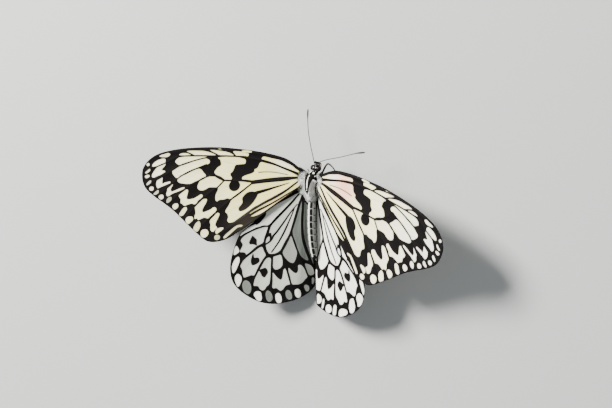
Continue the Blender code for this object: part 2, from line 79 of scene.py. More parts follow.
def drawn(text: str) -> Line:
    """Points of a drawn line, written as x,y pairs in millimetres with spaces between them."""
    return [tuple(float(value) for value in pair.split(",")) for pair in text.split()]


# Marks of the forewing, on its flat plan: x outwards from the root, y forwards
FORE_WINDOWS = {
    "basal_costal": "2.6,2.2 4,3.3 6,4.8 8,5.7 10,6.6 14,7.5 17.4,8.1 17.9,7.4 17.2,6.5 14,5.8 10,4.5 6,2.8 "
    "3.4,1.7",
    "basal_cell": "4,1.2 8,2.9 12,4.5 16,5.6 18,6 18.5,5.5 18.8,4.5 19.3,3.6 20.3,3 20.3,2.2 21,1.6 23,0.9 "
    "24.5,0.2 24.8,-0.3 24.5,-1.1 22,-1.5 20,-1.6 16,-1.2 12,-0.8 8,-0.5 4,-0.1 2.6,0.2",
    "outer_cell": "24.3,7 26,7.6 28,8 30,8 34,7.9 35.3,7.6 34.3,6.8 33.8,5.6 33.8,4.6 34.8,3.9 35.5,3 36,1.8 "
    "35.3,1 33,0 31.5,-1 30.5,-1.2 29,-1.1 28.8,-0.3 29.4,0.6 29.6,1.3 28.8,2.2 28.4,3.3 28,4.6 26.5,5 "
    "24.3,5.3 24,6.2",
    "costal_2": "23.1,9.1 24.5,9.8 29.5,10.1 28.6,9 28.3,8.4 26,8.2 23.9,7.7",
    "costal_3": "29,8.7 29.6,9.4 31,10 33,10.5 36,10.7 39,10.8 38,10.2 36.5,9.3 35,8.6 33,8.3 30,8.3",
    "costal_4": "35.8,8.4 37,9.2 39.5,10 42,10.4 45,10.4 47.5,10.2 48.2,9.8 47,9 45,8.6 42,8.3 38,8.1",
    "costal_5": "46,8.7 48,9.3 50,9.2 51,8.6 51,8.2 49,8.3 47,8.4",
    "costal_sliver": "33.5,10.9 35,11.2 38,11.2 42,11.1 44.2,10.8 42,10.7 38,10.9 35,10.8",
    "pane_1": "39.5,7.9 42,8.2 45,8.2 48.5,8.1 50.5,7.7 51.8,6.7 52.2,5.8 51.3,5 50.5,4.6 48,5.2 45,6.3 "
    "42,7.2",
    "pane_2": "38.2,6 38.7,6.8 40,7.3 42,7 44,6.4 46.5,5.4 49,4.5 50.8,4 52,3.3 52.9,2.2 52.8,1.2 52.2,0.4 "
    "51.3,-0.4 50.3,-0.6 49.7,0.3 48.5,0.8 47,1.6 45.5,2.3 44,3.1 42,4 40,4.8 38.6,5.2",
    "pane_3": "39.2,0.4 40.3,1.7 41.2,2.8 42,3.2 43,3.1 45,2.2 47,1.1 48.6,0.3 49.8,-0.5 50.5,-1.5 50.1,-2.2 "
    "49.3,-2.6 48,-2.8 46.5,-2.9 45,-2.8 43.5,-2 42,-1.3 40.6,-0.4",
    "pane_4": "32,-1.3 33,-0.7 35,0 37,0.2 38.7,0 40.3,-0.8 41.3,-1.5 41.9,-2.7 42.2,-4.1 41.8,-4.9 "
    "40.5,-5.5 39,-5.1 37.5,-4.2 36,-4.1 34.3,-4 33.2,-2.6",
    "pane_5": "20.8,-2.3 23,-1.9 25.5,-1.7 27,-1.7 29.5,-1.5 31.5,-1.6 33,-3 34,-4 33.8,-4.9 34.4,-6.6 "
    "34.6,-8.2 34.3,-9.3 33.8,-9.7 32.8,-9.1 31,-8.9 29.5,-8.4 28.8,-8.7 27,-7.6 25,-6.1 23.3,-4.5 22,-3.2",
    "pane_6": "3,-0.6 8,-1.4 14,-2 19,-2.6 20.8,-2.9 22,-4 24,-5.8 26,-7.5 28,-9.1 28.4,-10 29,-11.5 "
    "29.8,-13 29.9,-13.8 28.9,-14.8 28.6,-16 28.7,-17.3 28,-18 26.5,-17.8 24.5,-16.9 22.8,-15.3 "
    "20.5,-13.2 18.5,-11.6 16,-10.3 13,-8.8 10,-7.3 7,-5.2 4,-2.8 2.4,-1.2",
    "anal_strip": "2,-1.7 5,-3.8 8,-6.2 12,-8.6 16,-11 19.5,-13.4 20.4,-15.2 19.8,-15.5 18.5,-15.4 16,-14.4 "
    "13,-12.2 10,-9.9 7,-7.6 4,-5.3 1.6,-3.2",
    "outer_1": "54.4,8.8 55.2,9.3 56.8,8.9 58.5,8.3 58.8,7.9 57.5,7.6 56,7.6 55,8",
    "outer_2": "56.1,6.5 56.8,7.2 58,6.9 59.5,6.3 60.8,5.3 61.4,4.3 61.2,3.8 60.2,3.9 58.8,4.3 57.5,5 "
    "56.2,5.6",
    "outer_3": "56,5.1 57.2,4.5 58.5,4 59.6,3.2 60.5,1.8 61.1,0.6 60.9,-0.4 60.2,-0.6 59,0 57.5,0.6 "
    "56.3,1.4 55.7,1.9 56.2,2.3 57,2.4 57.2,2.9 56.6,3.6 56,4.6",
    "outer_4": "56.6,-0.4 57.2,-0.2 58,-0.7 58.8,-1.8 59,-3.2 58.7,-4.2 58.2,-4.8 57,-4.3 55.8,-3.8 "
    "54.5,-3.2 53.2,-2.5 53.4,-2 54.5,-2.2 55.6,-2.5 56.4,-2.9 56.6,-2",
    "outer_5": "51.9,-2.6 52.8,-3 53.8,-3.8 54.3,-4.6 54.2,-5.8 54.5,-6.9 54,-7.9 53.5,-7.9 52,-6.9 "
    "50.4,-6.2 49.2,-5.7 47.5,-4.8 47.2,-4.2 48.2,-4.3 49.5,-4.8 51,-5.5 52.4,-5.9 52.8,-5 52.3,-3.8",
    "outer_6": "45.8,-5.3 46.8,-5 48,-5.8 49.2,-7.2 49.1,-8.1 48.4,-9 48.3,-10.5 47.4,-11 46.7,-11.6 "
    "45.5,-11.2 43.8,-10.7 42.3,-10.9 41.2,-9.4 40.2,-8.5 39.6,-7.6 40.3,-6.9 41.5,-7.6 43,-8.5 44.5,-8.9 "
    "45.7,-8.9 46,-8.2 45.8,-6.8",
    "outer_7": "37.8,-8.8 38.8,-8.7 39.8,-9 41,-10.2 42.3,-11.8 42.1,-13 41.8,-14.5 42.1,-16 41.8,-16.8 "
    "41,-16.6 40.4,-17.2 39.5,-16.8 38,-16.2 36.5,-16.5 35.8,-16.3 34.9,-15.2 34,-14 33.5,-12.9 34,-12.1 "
    "34.8,-12 36,-12.9 37.5,-13.6 38.8,-14 39.2,-13.3 38.8,-12 38,-10.3",
    "outer_8": "32.1,-14.6 32.8,-14.1 33.4,-14.4 34.2,-15.4 35.4,-16.8 35.7,-17.6 35.3,-19 35.2,-20.6 "
    "34.8,-21.4 33.9,-21.8 33.2,-21 32.4,-20.2 33.3,-19 33,-17.5 32.4,-16",
    "outer_9": "30,-20 31.5,-20.1 32.6,-20.6 33,-21.8 32.2,-22.7 31.2,-22 30.2,-21.3",
}
FORE_SPOTS = {
    "oval": "17.8,-6 19,-5.7 20.5,-5.6 22,-6 23.3,-7.2 23.9,-8.5 23.6,-9.8 24.1,-11 24.8,-12 24.7,-13.2 "
    "23.8,-13.5 22.5,-13.1 21,-12 19.5,-10.3 18.6,-8.8 18,-7.5",
    "neck": "26.2,-1.2 28.8,-1.2 28.5,-2.4 26.6,-2.4",
}

# Strokes: width at the start, width at the end, and the line between
FORE_STROKES = [
    (0.55, 0.42, "0.5,0.6 3,1.6 8,3.4 14,5.7 18,6.8 23.5,7.9 28,8.2 35.5,8.4"),
    (0.4, 0.35, "28.3,8.4 29.5,9.3 32,10.2 37,10.9 43,10.9"),
    (0.4, 0.35, "35.3,8.6 37.5,9.6 41,10.5 46,10.6 50,10.6"),
    (0.4, 0.4, "45,8.5 48.3,9.7 51.5,9.6 55.5,9.7 58.8,9.1"),
    (0.4, 0.4, "49,8.15 52.5,8.2 55.5,7.4 59,7.2 62,6 63.7,5.4"),
    (0.42, 0.4, "36,8.3 45,8.3 50,8 53,7 56,5.35 59,4 61.8,2.8 64.9,1.9"),
    (0.36, 0.4, "39.5,7.6 42,7.1 46,5.9 50,4.4 53,2.4 56.4,0.1 59.5,-1.8 63.4,-3.9"),
    (0.36, 0.4, "39.5,4.9 43,3.4 46,2.1 49.5,0 51.5,-2 52.8,-3.2 54.3,-4.6 58.5,-8.2"),
    (0.4, 0.45, "36,0.8 38.8,0.1 40.5,-0.9 43,-2.2 46.8,-4.9 50,-7.6 53.8,-11.1"),
    (0.4, 0.5, "31.8,-1.4 34,-4 37,-6.6 39.8,-8.9 42.6,-12 45,-15 46.9,-16.4"),
    (0.45, 0.5, "20.5,-2.3 24,-5.3 28,-8.6 30.5,-11 33.8,-14.2 36.3,-16.7 39.5,-20 41.3,-21.5"),
    (0.3, 1.1, "1.6,0.1 4,0 6,-0.1 8,-0.3 10,-0.5"),
    (1.1, 1.0, "10,-0.5 14,-0.9 17,-1.3 20.5,-1.8"),
    (0.7, 0.5, "20.5,-1.7 24,-1.3 28,-1.4 31.8,-1.3"),
    (0.5, 0.6, "31.8,-1.4 34,-0.4 36,0.8"),
    (0.4, 0.9, "1.4,-0.7 4,-2.7 6,-4.4 8,-5.9 10,-7.2"),
    (0.9, 0.8, "10,-7.2 12,-8.4 14,-9.5 16,-10.7 18,-12 20,-13.4 24,-16.6 28,-19.8 32,-23 34,-25.4"),
    (0.2, 0.5, "2.6,-4 5,-5.7 7,-7 9,-8.4 11,-9.7"),
    (0.5, 0.9, "11,-9.7 13,-10.9 15,-12 16.5,-12.8 18.5,-14 20.6,-15.5"),
    (0.05, 0.15, "7,1 10,1.6 13,2 16,2.1 18.5,1.9"),
    (0.05, 0.4, "6.2,-2.2 8,-2.8 10,-3.5"),
    (0.4, 1.3, "10,-3.5 12,-4.1 14,-4.8 16,-5.4 18.5,-6.2"),
    (4.2, 4.2, "27.4,-3.4 27.5,-3.4"),
]
FORE_DOTS = {
    "dot_1": "62.9,5.3 63.7,4.9 63.7,4.3 63.1,3.9 62.4,4.5",
    "dot_2": "62.2,3 63,2.4 64,1.3 63.5,1 62.5,1.6 61.9,2.3",
    "dot_3": "62.3,0.5 63.5,0.4 64,-0.2 63.4,-0.9 62.4,-0.6 61.9,0",
    "dot_4": "61.2,-1.6 62,-1.9 62.9,-3 62.9,-3.7 62.1,-3.5 61.1,-2.4",
    "dot_5": "60.1,-4.2 61.3,-4.2 61.7,-5 61.1,-5.8 60.2,-5.8 59.7,-5",
    "dot_6": "57.9,-5.4 58.8,-6 59.7,-7.1 59.2,-7.5 58.1,-7.1 57.5,-6.2",
    "dot_7": "55.8,-7.3 57,-7.4 57.5,-8.3 56.8,-9.1 56,-9.2 55.3,-8.4",
    "dot_8": "52.3,-8.1 53.5,-8.4 54.1,-9.6 53.9,-10.6 52.9,-10.3 52,-9.2",
    "dot_9": "49.4,-10.7 50.8,-10.8 51.5,-11.8 50.8,-13 50,-13.1 49,-11.9",
    "dot_10": "45.8,-12 46.8,-12.3 47.9,-13.9 48.4,-15.1 47.7,-15.7 46.8,-15.5 45.8,-14 45.3,-12.8",
    "dot_11": "43,-15.8 44.8,-15.9 45.5,-16.9 45.1,-18.2 44.3,-18.8 43.2,-18.1 42.4,-16.9",
    "dot_12": "39.9,-17.6 40.9,-18 41.7,-19.3 42,-20.8 41.2,-21.7 40.2,-21.8 39.4,-20.6 39.2,-19",
    "dot_13": "36.4,-20.9 38.2,-20.9 38.9,-22 38.5,-23.5 37.5,-24.1 36.4,-23.8 35.6,-22.3",
    "dot_14": "31.1,-23.1 32.5,-22.9 33.2,-23.7 32.8,-24.8 31.7,-25 30.8,-24.2",
    "inner_stripe": "22.4,-18.9 24.3,-18.9 25.8,-19.8 27.4,-21.3 29,-22.9 29.6,-24 29,-24.3 27.4,-23 "
    "25.6,-21.2 24.2,-19.9 22.7,-19.5",
    "costal_fleck": "22,9.8 26,10.05 26,10.45 22,10.2",
}
# Painted shade: some dots of the left forewing are greyer, as a share of the whole wing's tone
FORE_DOT_SHADING = {
    "dot_4": 0.6, "dot_6": 0.5, "dot_8": 0.35, "dot_10": 0.8, "dot_12": 0.65, "dot_14": 0.5,
    "inner_stripe": 0.7,
}

# Marks of the hindwing
HIND_WINDOWS = {
    "costal": "2.5,-0.5 8,-1 14,-1.6 17,-2.3 18,-3.8 20,-5.3 22,-6.2 23,-6.9 22,-7.4 20,-7.6 18.2,-8.3 "
    "14,-6.2 10,-4.3 6,-2.3",
    "costal_tip": "22.3,-6 25,-5.8 28,-6.6 29.8,-8 28,-7.6 24,-7.3 22.5,-7",
    "cell": "2.6,-1.2 6,-3.3 10,-5.4 14,-7.4 17.3,-9.3 19,-11.7 20.9,-14 21.7,-15.9 22,-18 21.6,-20 "
    "19.5,-20.9 17.5,-20.6 15,-18.3 12,-15.5 10.4,-13.3 7.5,-9 4.5,-4.6 2.4,-1.9",
    "pane_2": "18.3,-8.9 20,-8.4 23,-8.1 26,-8.2 28.5,-8.8 30,-9.8 29.9,-11.8 30.8,-13 31.9,-14.3 "
    "30.6,-15.1 30,-15.9 30.1,-16.9 28,-16.1 25.5,-15.1 22.5,-14.5 21.3,-13 19.8,-11",
    "pane_3": "23.3,-16 24.5,-15.9 27,-16.7 30,-17.6 32,-18.5 33.6,-20 33.6,-22 34,-24 33.9,-25.4 "
    "32.5,-25.6 31,-25.7 30,-26.2 28,-24.2 26,-22.5 24,-21 23.1,-19.9 23.2,-18",
    "pane_4": "21.8,-22.1 22.8,-21.4 23.9,-21.8 26,-23.7 28.5,-26 30.3,-27.9 31.4,-29.5 31.5,-30.5 "
    "30.2,-31.3 29.8,-33 29,-33.9 28,-33.7 27.2,-33 26,-32.5 25.4,-31.8 24,-28.5 22.7,-25",
    "pane_5": "17.8,-22.4 19.2,-22.1 20.8,-22.1 21.6,-24.2 22.1,-26.3 21.6,-27.6 20,-27.8 18.8,-27.2 "
    "18.1,-25.9 17.7,-24",
    "outer_5": "18.1,-28.7 18.8,-29 19.6,-30.6 20.4,-32 21,-32.6 21.7,-31.8 22.4,-29.9 22.9,-28.2 "
    "23.3,-28.6 24.2,-31 25.1,-33.6 25,-34.8 23.9,-35.2 23.2,-36.4 22.6,-37.1 21.5,-36.8 20.3,-35.9 "
    "19,-35.9 18.3,-36 18,-33.5 17.9,-30.5",
    "pane_6": "11.6,-16.6 13,-18 15,-20 16.7,-21.7 16.8,-23.2 16.4,-25 15.6,-26.9 14.4,-27.9 13.4,-27.2 "
    "12.2,-25.5 11.5,-24 11.5,-20",
    "outer_6": "11.6,-30.8 12.3,-29.7 13,-29.7 13.6,-31.4 14.5,-32.5 15.3,-32 16,-30.6 16.7,-29 17.2,-30.5 "
    "17.4,-33 17.6,-36.4 16.8,-36.9 15.5,-37.5 14,-37.6 12.5,-36.8 11.4,-36.2",
    "pane_7": "2.6,-3.6 5,-7 8,-11.4 10.5,-15.3 10.8,-20 10.8,-26.3 9.8,-28.7 8.8,-29.6 8.6,-25 8.2,-20 "
    "6.8,-14.5 4.8,-9 3,-5",
    "outer_7": "8.5,-32.3 9.4,-31 10.3,-30.2 10.7,-31.5 10.6,-35.5 9.8,-36.4 8.6,-36.3 8.2,-34.5",
    "anal": "2.2,-5.2 4,-9.5 6,-15 7.2,-20 7.5,-25 7.6,-30 7.8,-34 7.2,-31 6.6,-27 5.4,-21 3.5,-13 1.8,-7",
    "inner": "0.9,-4.5 2.5,-9.5 4.4,-16 5.9,-22 6.5,-26 5.8,-24 4.4,-18.5 2.6,-11.5 1,-6",
}
HIND_SPOTS = {
    "costal_wedge": "17.3,-2.6 19,-3.2 21.5,-4.5 22.3,-6 21,-5.9 19,-4.8 17.8,-3.9",
    "spot_2": "24.7,-11.2 25.2,-10 25.7,-10.4 26.5,-11.2 27.3,-12.2 27.2,-12.9 26.3,-13.3 25.6,-13.9 "
    "25,-14.5 24.7,-13.5 24.3,-12.2",
    "spot_3": "27.4,-17.3 28.3,-18.4 29,-19.5 29.4,-21 29.2,-21.8 27.5,-22 26.3,-21.5 26,-20.8 26.2,-19.8 "
    "27.6,-19.1",
    "spot_4": "25,-25.2 26,-25 27.4,-25.1 27.3,-26.5 27.2,-28 26.6,-28.8 25.6,-28.2 24.8,-27.5 24.6,-26.3",
    "cell_patch": "18.4,-11.9 19.6,-12 20.4,-14 19.4,-14.6 18.6,-13.6",
}
HIND_STROKES = [
    (0.5, 0.5, "1.5,-0.3 6,-2.6 10,-4.7 14,-6.6 17.8,-8.6 20,-8 23,-7.7 26,-7.9 29,-8.6 30.5,-9.8"),
    (0.5, 0.6, "17.8,-8.6 19.5,-11 21,-13 22,-15"),
    (0.6, 0.5, "22,-15 25,-15.2 28,-16.3 31,-17.3 34,-19.8 38,-22.8"),
    (0.9, 0.9, "22.3,-15 22.6,-17.5 22.3,-20 21,-21"),
    (0.7, 0.5, "22.3,-20.3 24,-21.2 27,-23.7 30.3,-27.3 32,-30 34.5,-34"),
    (0.6, 0.5, "20.8,-21.3 22,-24.5 23.5,-28.5 25,-32.8 28.5,-40"),
    (0.5, 0.45, "17.2,-21.5 17.2,-25 17.6,-30 18,-35 18.5,-43"),
    (0.5, 0.45, "11,-15.5 11.2,-20 11.2,-26 11,-31 11,-38"),
    (0.7, 0.6, "1.5,-1.5 4,-4.8 7,-9.3 10,-13.6 11.5,-15.7 14.5,-18.5 17.2,-21.1 20.5,-21.4 21.5,-20.7"),
    (0.6, 0.45, "2,-3 4,-8 6.5,-15 7.7,-20 8,-25 8,-30 7.8,-34"),
    (0.4, 0.3, "0.5,-4 2.5,-10 4.5,-17 6.2,-23 7,-28"),
    (0.25, 0.7, "5.2,-4.9 8,-6.7 10.1,-8.2 12.2,-9.8 14.3,-11.3 16,-12.5 17.8,-13.5"),
    (0.7, 0.55, "17.8,-13.5 18.7,-14.5 19.8,-15.2 21.4,-15.6"),
    (0.2, 0.6, "6.6,-6 8,-7.7 10.5,-10.6 13.4,-13.8"),
    (0.6, 0.35, "13.4,-13.8 15.9,-16.2 17.7,-17.7 20.6,-19.8"),
]
HIND_DOTS_LEFT = {
    "dot_1": "32.3,-11.2 33.2,-11.8 34,-13 34.5,-14.2 34.3,-14.7 33,-14.5 32.1,-14.1 31.9,-12.6",
    "dot_2": "33,-16 34,-16 35.2,-16.8 36.3,-18 37,-19.5 37.4,-21.3 37.2,-21.9 36,-21.3 34.8,-20 33.8,-18.8 "
    "33,-17.5",
    "dot_3": "35.6,-22.8 36.8,-23.2 37.6,-24.8 37.7,-26.8 37.4,-28.2 36.8,-28 35.8,-27 34.9,-25.6 34.9,-24",
    "dot_4": "33.6,-26.8 34.6,-26.8 35.6,-28 36,-29.8 35.8,-31.5 34.9,-32.8 34,-32.9 33,-31.8 32.5,-30 "
    "32.6,-28.2",
    "dot_5": "30.8,-33.3 32.2,-33.2 32.9,-34.2 32.7,-35.6 32.3,-37 31.3,-37.8 30.5,-37.2 30.1,-35.6 30,-34.2",
    "dot_6": "27.3,-34.6 28.1,-35 28.8,-36.6 28.9,-38.6 28.3,-39.6 27.2,-39.6 26.4,-38.6 26.2,-36.8 "
    "26.6,-35.4",
    "dot_7": "24,-37.4 25,-37.6 25.6,-39 25.7,-40.8 25.2,-41.7 24.2,-41.9 23.5,-41 23.2,-39.4 23.4,-38",
    "dot_8": "20.2,-37.8 21,-38.2 21.6,-39.8 21.5,-41.3 20.8,-42.2 19.8,-42.2 19.2,-41 19.2,-39.2 19.6,-38.2",
    "dot_9": "16.3,-39.1 17.4,-39.1 18,-40.4 18.1,-41.8 17.5,-42.9 16.6,-43 15.9,-42 15.7,-40.3",
    "dot_10": "12.9,-39 13.7,-39.1 14,-40.6 13.8,-41.8 13.2,-42.3 12.6,-42 12.1,-41 12.1,-40",
    "dot_11": "9.2,-37.6 9.9,-37.4 10.5,-38.8 10.8,-40 10.4,-40.4 9.8,-39.8 9.2,-38.8",
    "cell_dot": "19.3,-13 20.2,-13.2 21.3,-14.6 21.2,-15.1 20.2,-14.9 19.4,-14",
}
HIND_DOTS_RIGHT = {
    "dot_1": "32.2,-11.4 33.2,-11.8 34.2,-13 34.8,-14.3 34.3,-14.7 33,-14.5 32.1,-14.1 31.9,-12.6",
    "dot_2": "33.4,-16 34.2,-16 36,-17.4 37.5,-19.2 38.2,-20.8 37.8,-21.3 36.6,-20.6 35.2,-19.2 34,-18",
    "dot_3": "35.8,-22 37.4,-22 38.4,-23.2 38.5,-25 37.8,-27.2 37,-27.9 36.2,-26.8 34.9,-25.2 34.9,-23.4",
    "dot_4": "33.6,-26.6 34.6,-27.4 35.8,-29 36.2,-31 35.6,-32.6 34.8,-33.1 33.6,-32 32.8,-30 32.6,-28",
    "dot_5": "31,-34.2 32.6,-33.5 33.5,-34 33.2,-35.6 32,-37.2 30.8,-38.6 30,-38.7 29.3,-37.2 29.6,-35.6",
    "dot_6": "26.6,-35.8 27.4,-35.8 28.2,-38 28.5,-39.6 28,-40.4 27.2,-40.6 26.5,-39 26.2,-37",
    "dot_7": "24,-38.1 25.2,-38.2 25.9,-39.6 25.6,-41 24.6,-42 23.6,-42 22.8,-41.2 22.8,-39.4",
    "dot_8": "20.4,-38 21,-38.4 21.5,-40.5 21.6,-42.3 21.1,-42.5 20.6,-41.2 20.2,-39.4",
    "dot_9": "17.2,-38.2 18.6,-38 19.8,-39 19.8,-40.8 19,-42 18.3,-42.3 17.6,-41 16.9,-39.4",
    "cell_dot": "19.1,-13 20,-13 21,-14 21.2,-14.8 20.4,-15 19.3,-14.2",
}

# Tones of the left hindwing's marks, as a share of the whole wing's: painted light and shade, darkest
# on the inner panes, which fold down beside the abdomen
HIND_DOT_SHADING = {
    "dot_1": 1.8, "dot_2": 1.8, "dot_3": 2.1, "dot_5": 2.0, "dot_7": 2.0, "dot_9": 2.0,
    "dot_4": 0.14, "dot_6": 0.12, "dot_8": 0.12, "dot_10": 0.3, "dot_11": 0.25,
}
HIND_WINDOW_SHADING = {
    "pane_7": 0.06, "anal": 0.04, "inner": 0.4, "outer_7": 0.4, "pane_6": 0.42, "outer_6": 0.75,
    "costal": 1.1, "costal_tip": 2.0, "pane_2": 1.0,
}

# Edges and raised veins of the wings, as in the solids
FORE_EDGE = drawn(
    "-0.9,1 2,3.2 6,6.1 10,8 18,9.9 26,11 34,11.7 42,11.7 50,11.1 56,10 60,8.6 63.2,6.2 64.9,3.4 65.2,0.9 "
    "64.6,-2.2 62.8,-5.2 59,-8.2 54.7,-10.9 50.3,-14 45.9,-17.8 42,-21.1 38.2,-24.1 35.8,-25.5 32.8,-25.8 "
    "28.5,-24.7 24.5,-22.2 17.5,-16.9 10,-10.6 4,-5.8 1.4,-3 -0.9,-1.4"
)
FORE_VEINS = [
    "-0.4,0.5 4,3.7 10,7 18,9 28,10.3 38,10.9 50,10.2 58,8.3",
    "0,0.4 4,2 10,4.4 18,6.6 28,8.2 37,8.3 50,8.1 56,5.4 64,2.1",
    "0,-0.2 6,-0.6 14,-1.5 20,-2.1 27,-1.5 32,-1.3",
    "32,-1.3 36,0.9 38.6,4.4 37.2,8.3",
    "38.4,7.3 42,7.1 46,5.9 50,4.4 56.4,0.1 62.8,-3.6",
    "38.7,5 43,3.4 48,1 52,-2.4 57.4,-7.4",
    "36,0.9 40.4,-0.8 46.6,-4.8 53,-10.4",
    "32,-1.3 34,-3.9 39.8,-8.9 45.4,-16.2",
    "20,-2.1 24,-5.3 30.5,-11 36.3,-16.8 40.6,-21.1",
    "0,-0.7 4,-3.3 10,-7.7 16,-11.2 24,-17 32.6,-23.9",
    "28.3,8.4 32,10.2 37,10.8",
    "36,8.4 41,10.3 47,10.4",
    "46,8.4 52,9.5 58,9",
]
HIND_FRONT_OUTER = drawn(
    "-0.9,0.6 3,1.9 8,2.2 13,1.1 18,-1.4 22.5,-4.4 26.5,-5.8 30.2,-7.8 33.9,-12.4 37,-17.6 38.5,-23 "
    "38.1,-27.6 35.6,-33 31.2,-38.5 25.6,-41.8 19,-43.2"
)
HIND_INNER_WIDE = drawn("13.6,-43 10,-41.4 7.6,-38.8 6,-34 5.4,-28 5,-22 3.3,-15 1.2,-7 0.1,-3.6 -0.9,-1.6")
HIND_INNER_NARROW = drawn("15.6,-42.3 13.8,-39 12,-34 9.6,-28 7.2,-22 4.4,-15 1.6,-7.6 0.1,-3.6 -0.9,-1.6")
HIND_VEINS = [
    "0,0.2 8,0.9 16,-1.2 23,-5.4 28.6,-7.4",
    "0,-0.2 6,-2.6 14,-6.6 18,-8.6 24,-7.8 29.4,-9.4",
    "18,-8.6 20.6,-12.2 22.3,-15 28,-16.2 32,-18 37.3,-22.6",
    "22.3,-15 22.6,-17.6 22,-20.4",
    "22,-20.4 27,-23.6 31,-28.2 34.6,-33.2",
    "20.8,-21.4 23.4,-28.6 25.6,-35 27.6,-39.8",
    "17.2,-21.3 17.3,-27 17.8,-34 18.4,-42.4",
    "0,-0.6 4,-4.8 10,-13.6 17.2,-21.3 22,-20.4",
    "10.9,-15 11.3,-22 11.1,-32 11.2,-41.4",
    "0.3,-1.6 4,-8 6.6,-15 7.9,-24 8.2,-35",
]


# Geometry in the plane and in space
def turn(axis: str, degrees: float) -> np.ndarray:
    """A 3 by 3 matrix that turns column vectors about the axis "x", "y" or "z"."""
    return np.array(Matrix.Rotation(math.radians(degrees), 3, axis.upper()))


def smooth_curve(points: Line, step: float, closed: bool = False) -> np.ndarray:
    """Points along a smooth curve through the given ones, the same curve as in the solids.

    Args:
        points: The given points, of two or more numbers each.
        step: Distance between the new points, about.
        closed: Whether the curve returns to its start.

    Returns:
        The new points, one a row.
    """
    given = np.array(points, float)
    count = len(given)
    path = []
    for i in range(count if closed else count - 1):
        if closed:
            before, start, end, after = (given[(i + k) % count] for k in (-1, 0, 1, 2))
        else:
            start, end = given[i], given[i + 1]
            before = given[i - 1] if i else 2 * start - end
            after = given[i + 2] if i + 2 < count else 2 * end - start
        pieces = max(1, round(np.linalg.norm(end - start) / step))
        for t in np.arange(pieces) / pieces:
            straight = 2 * start + (end - before) * t
            square = (2 * before - 5 * start + 4 * end - after) * t**2
            cube = (3 * start - before - 3 * end + after) * t**3
            path.append(0.5 * (straight + square + cube))
    if not closed:
        path.append(given[-1])
    return np.array(path)


def rounded_loop(points: Line, step: float) -> np.ndarray:
    """Closed smooth curve through the given points, which doesn't overshoot where they are close.

    Args:
        points: The drawn points of the loop.
        step: Distance between the new points, about.

    Returns:
        The new points, one a row.
    """

    def between(t: np.ndarray, start: float, end: float, first: np.ndarray, last: np.ndarray) -> np.ndarray:
        """Straight change from the first place, at start, to the last, at end."""
        return ((end - t) * first + (t - start) * last) / (end - start)

    given = np.array(points, float)
    parts = []
    for i in range(len(given)):
        p0, p1, p2, p3 = (given[(i + k) % len(given)] for k in (-1, 0, 1, 2))
        gaps = [math.sqrt(np.linalg.norm(b - a)) for a, b in ((p0, p1), (p1, p2), (p2, p3))]
        t0, t1, t2, t3 = np.cumsum([0.0, *gaps])
        t = np.linspace(t1, t2, max(1, round(np.linalg.norm(p2 - p1) / step)), endpoint=False)[:, None]
        a1, a2, a3 = between(t, t0, t1, p0, p1), between(t, t1, t2, p1, p2), between(t, t2, t3, p2, p3)
        parts.append(between(t, t1, t2, between(t, t0, t2, a1, a2), between(t, t1, t3, a2, a3)))
    return np.vstack(parts)


def nearest_on_path(points: np.ndarray, path: np.ndarray) -> tuple[np.ndarray, np.ndarray]:
    """Distance of points to a line of straight pieces, and how far along it they are.

    Args:
        points: Places in the plane, one a row.
        path: The line's points.

    Returns:
        The distances, and the shares of the line's pieces, from 0 to 1.
    """
    best = np.full(len(points), np.inf)
    share = np.zeros(len(points))
    for i, (start, end) in enumerate(zip(path[:-1], path[1:])):
        along = end - start
        t = np.clip(((points - start) @ along) / max(along @ along, 1e-12), 0, 1)
        offset = points - start - t[:, None] * along
        distance = np.einsum("ij,ij->i", offset, offset)
        closer = distance < best
        best[closer] = distance[closer]
        share[closer] = (i + t[closer]) / (len(path) - 1)
    return np.sqrt(best), share


def inside(points: np.ndarray, loop: np.ndarray) -> np.ndarray:
    """Whether each place in the plane lies inside a closed outline."""
    result = np.zeros(len(points), bool)
    x, y = points[:, 0], points[:, 1]
    for (x1, y1), (x2, y2) in zip(loop, np.roll(loop, -1, axis=0)):
        crosses = (y1 > y) != (y2 > y)
        with np.errstate(divide="ignore", invalid="ignore"):
            result ^= crosses & (x < (x2 - x1) * (y - y1) / (y2 - y1) + x1)
    return result


def near_box(points: np.ndarray, shape: np.ndarray, margin: float) -> np.ndarray:
    """Numbers of the points inside a shape's box and a margin round it."""
    low, high = shape.min(axis=0) - margin, shape.max(axis=0) + margin
    return np.flatnonzero(((points > low) & (points < high)).all(axis=1))


def directions(path: np.ndarray) -> np.ndarray:
    """The unit heading at each point of a path."""
    heading = np.gradient(path, axis=0)
    return heading / np.maximum(np.linalg.norm(heading, axis=1), 1e-9)[:, None]


def lengths_along(path: np.ndarray) -> np.ndarray:
    """The length of a path up to each of its points."""
    return np.append(0.0, np.cumsum(np.linalg.norm(np.diff(path, axis=0), axis=1)))


def bell(values: np.ndarray, centre: float, width: float) -> np.ndarray:
    """A smooth bump of height 1 about a centre."""
    return np.exp(-(((values - centre) / width) ** 2))


def ramp(values: np.ndarray, low: float, high: float) -> np.ndarray:
    """Smooth rise from 0 at low to 1 at high."""
    t = np.clip((values - low) / (high - low), 0, 1)
    return t * t * (3 - 2 * t)


@dataclass(frozen=True)
class Stance:
    """Where the body stands: the same named sizes as the solids have, in millimetres and degrees."""

    x: float = 0.55
    y: float = 9.9
    height: float = 12.6
    pitch: float = 3.0

    def body_to_row(self, points: np.ndarray) -> np.ndarray:
        """The body's frame in millimetres to the row frame in metres."""
        return (np.asarray(points, float) @ turn("x", self.pitch).T + (self.x, self.y, self.height)) * MM

    def floor_to_row(self, points: np.ndarray) -> np.ndarray:
        """Places measured from the floor below the thorax to the row frame in metres."""
        return (np.asarray(points, float) + (self.x, self.y, 0.0)) * MM


STANCE = Stance()


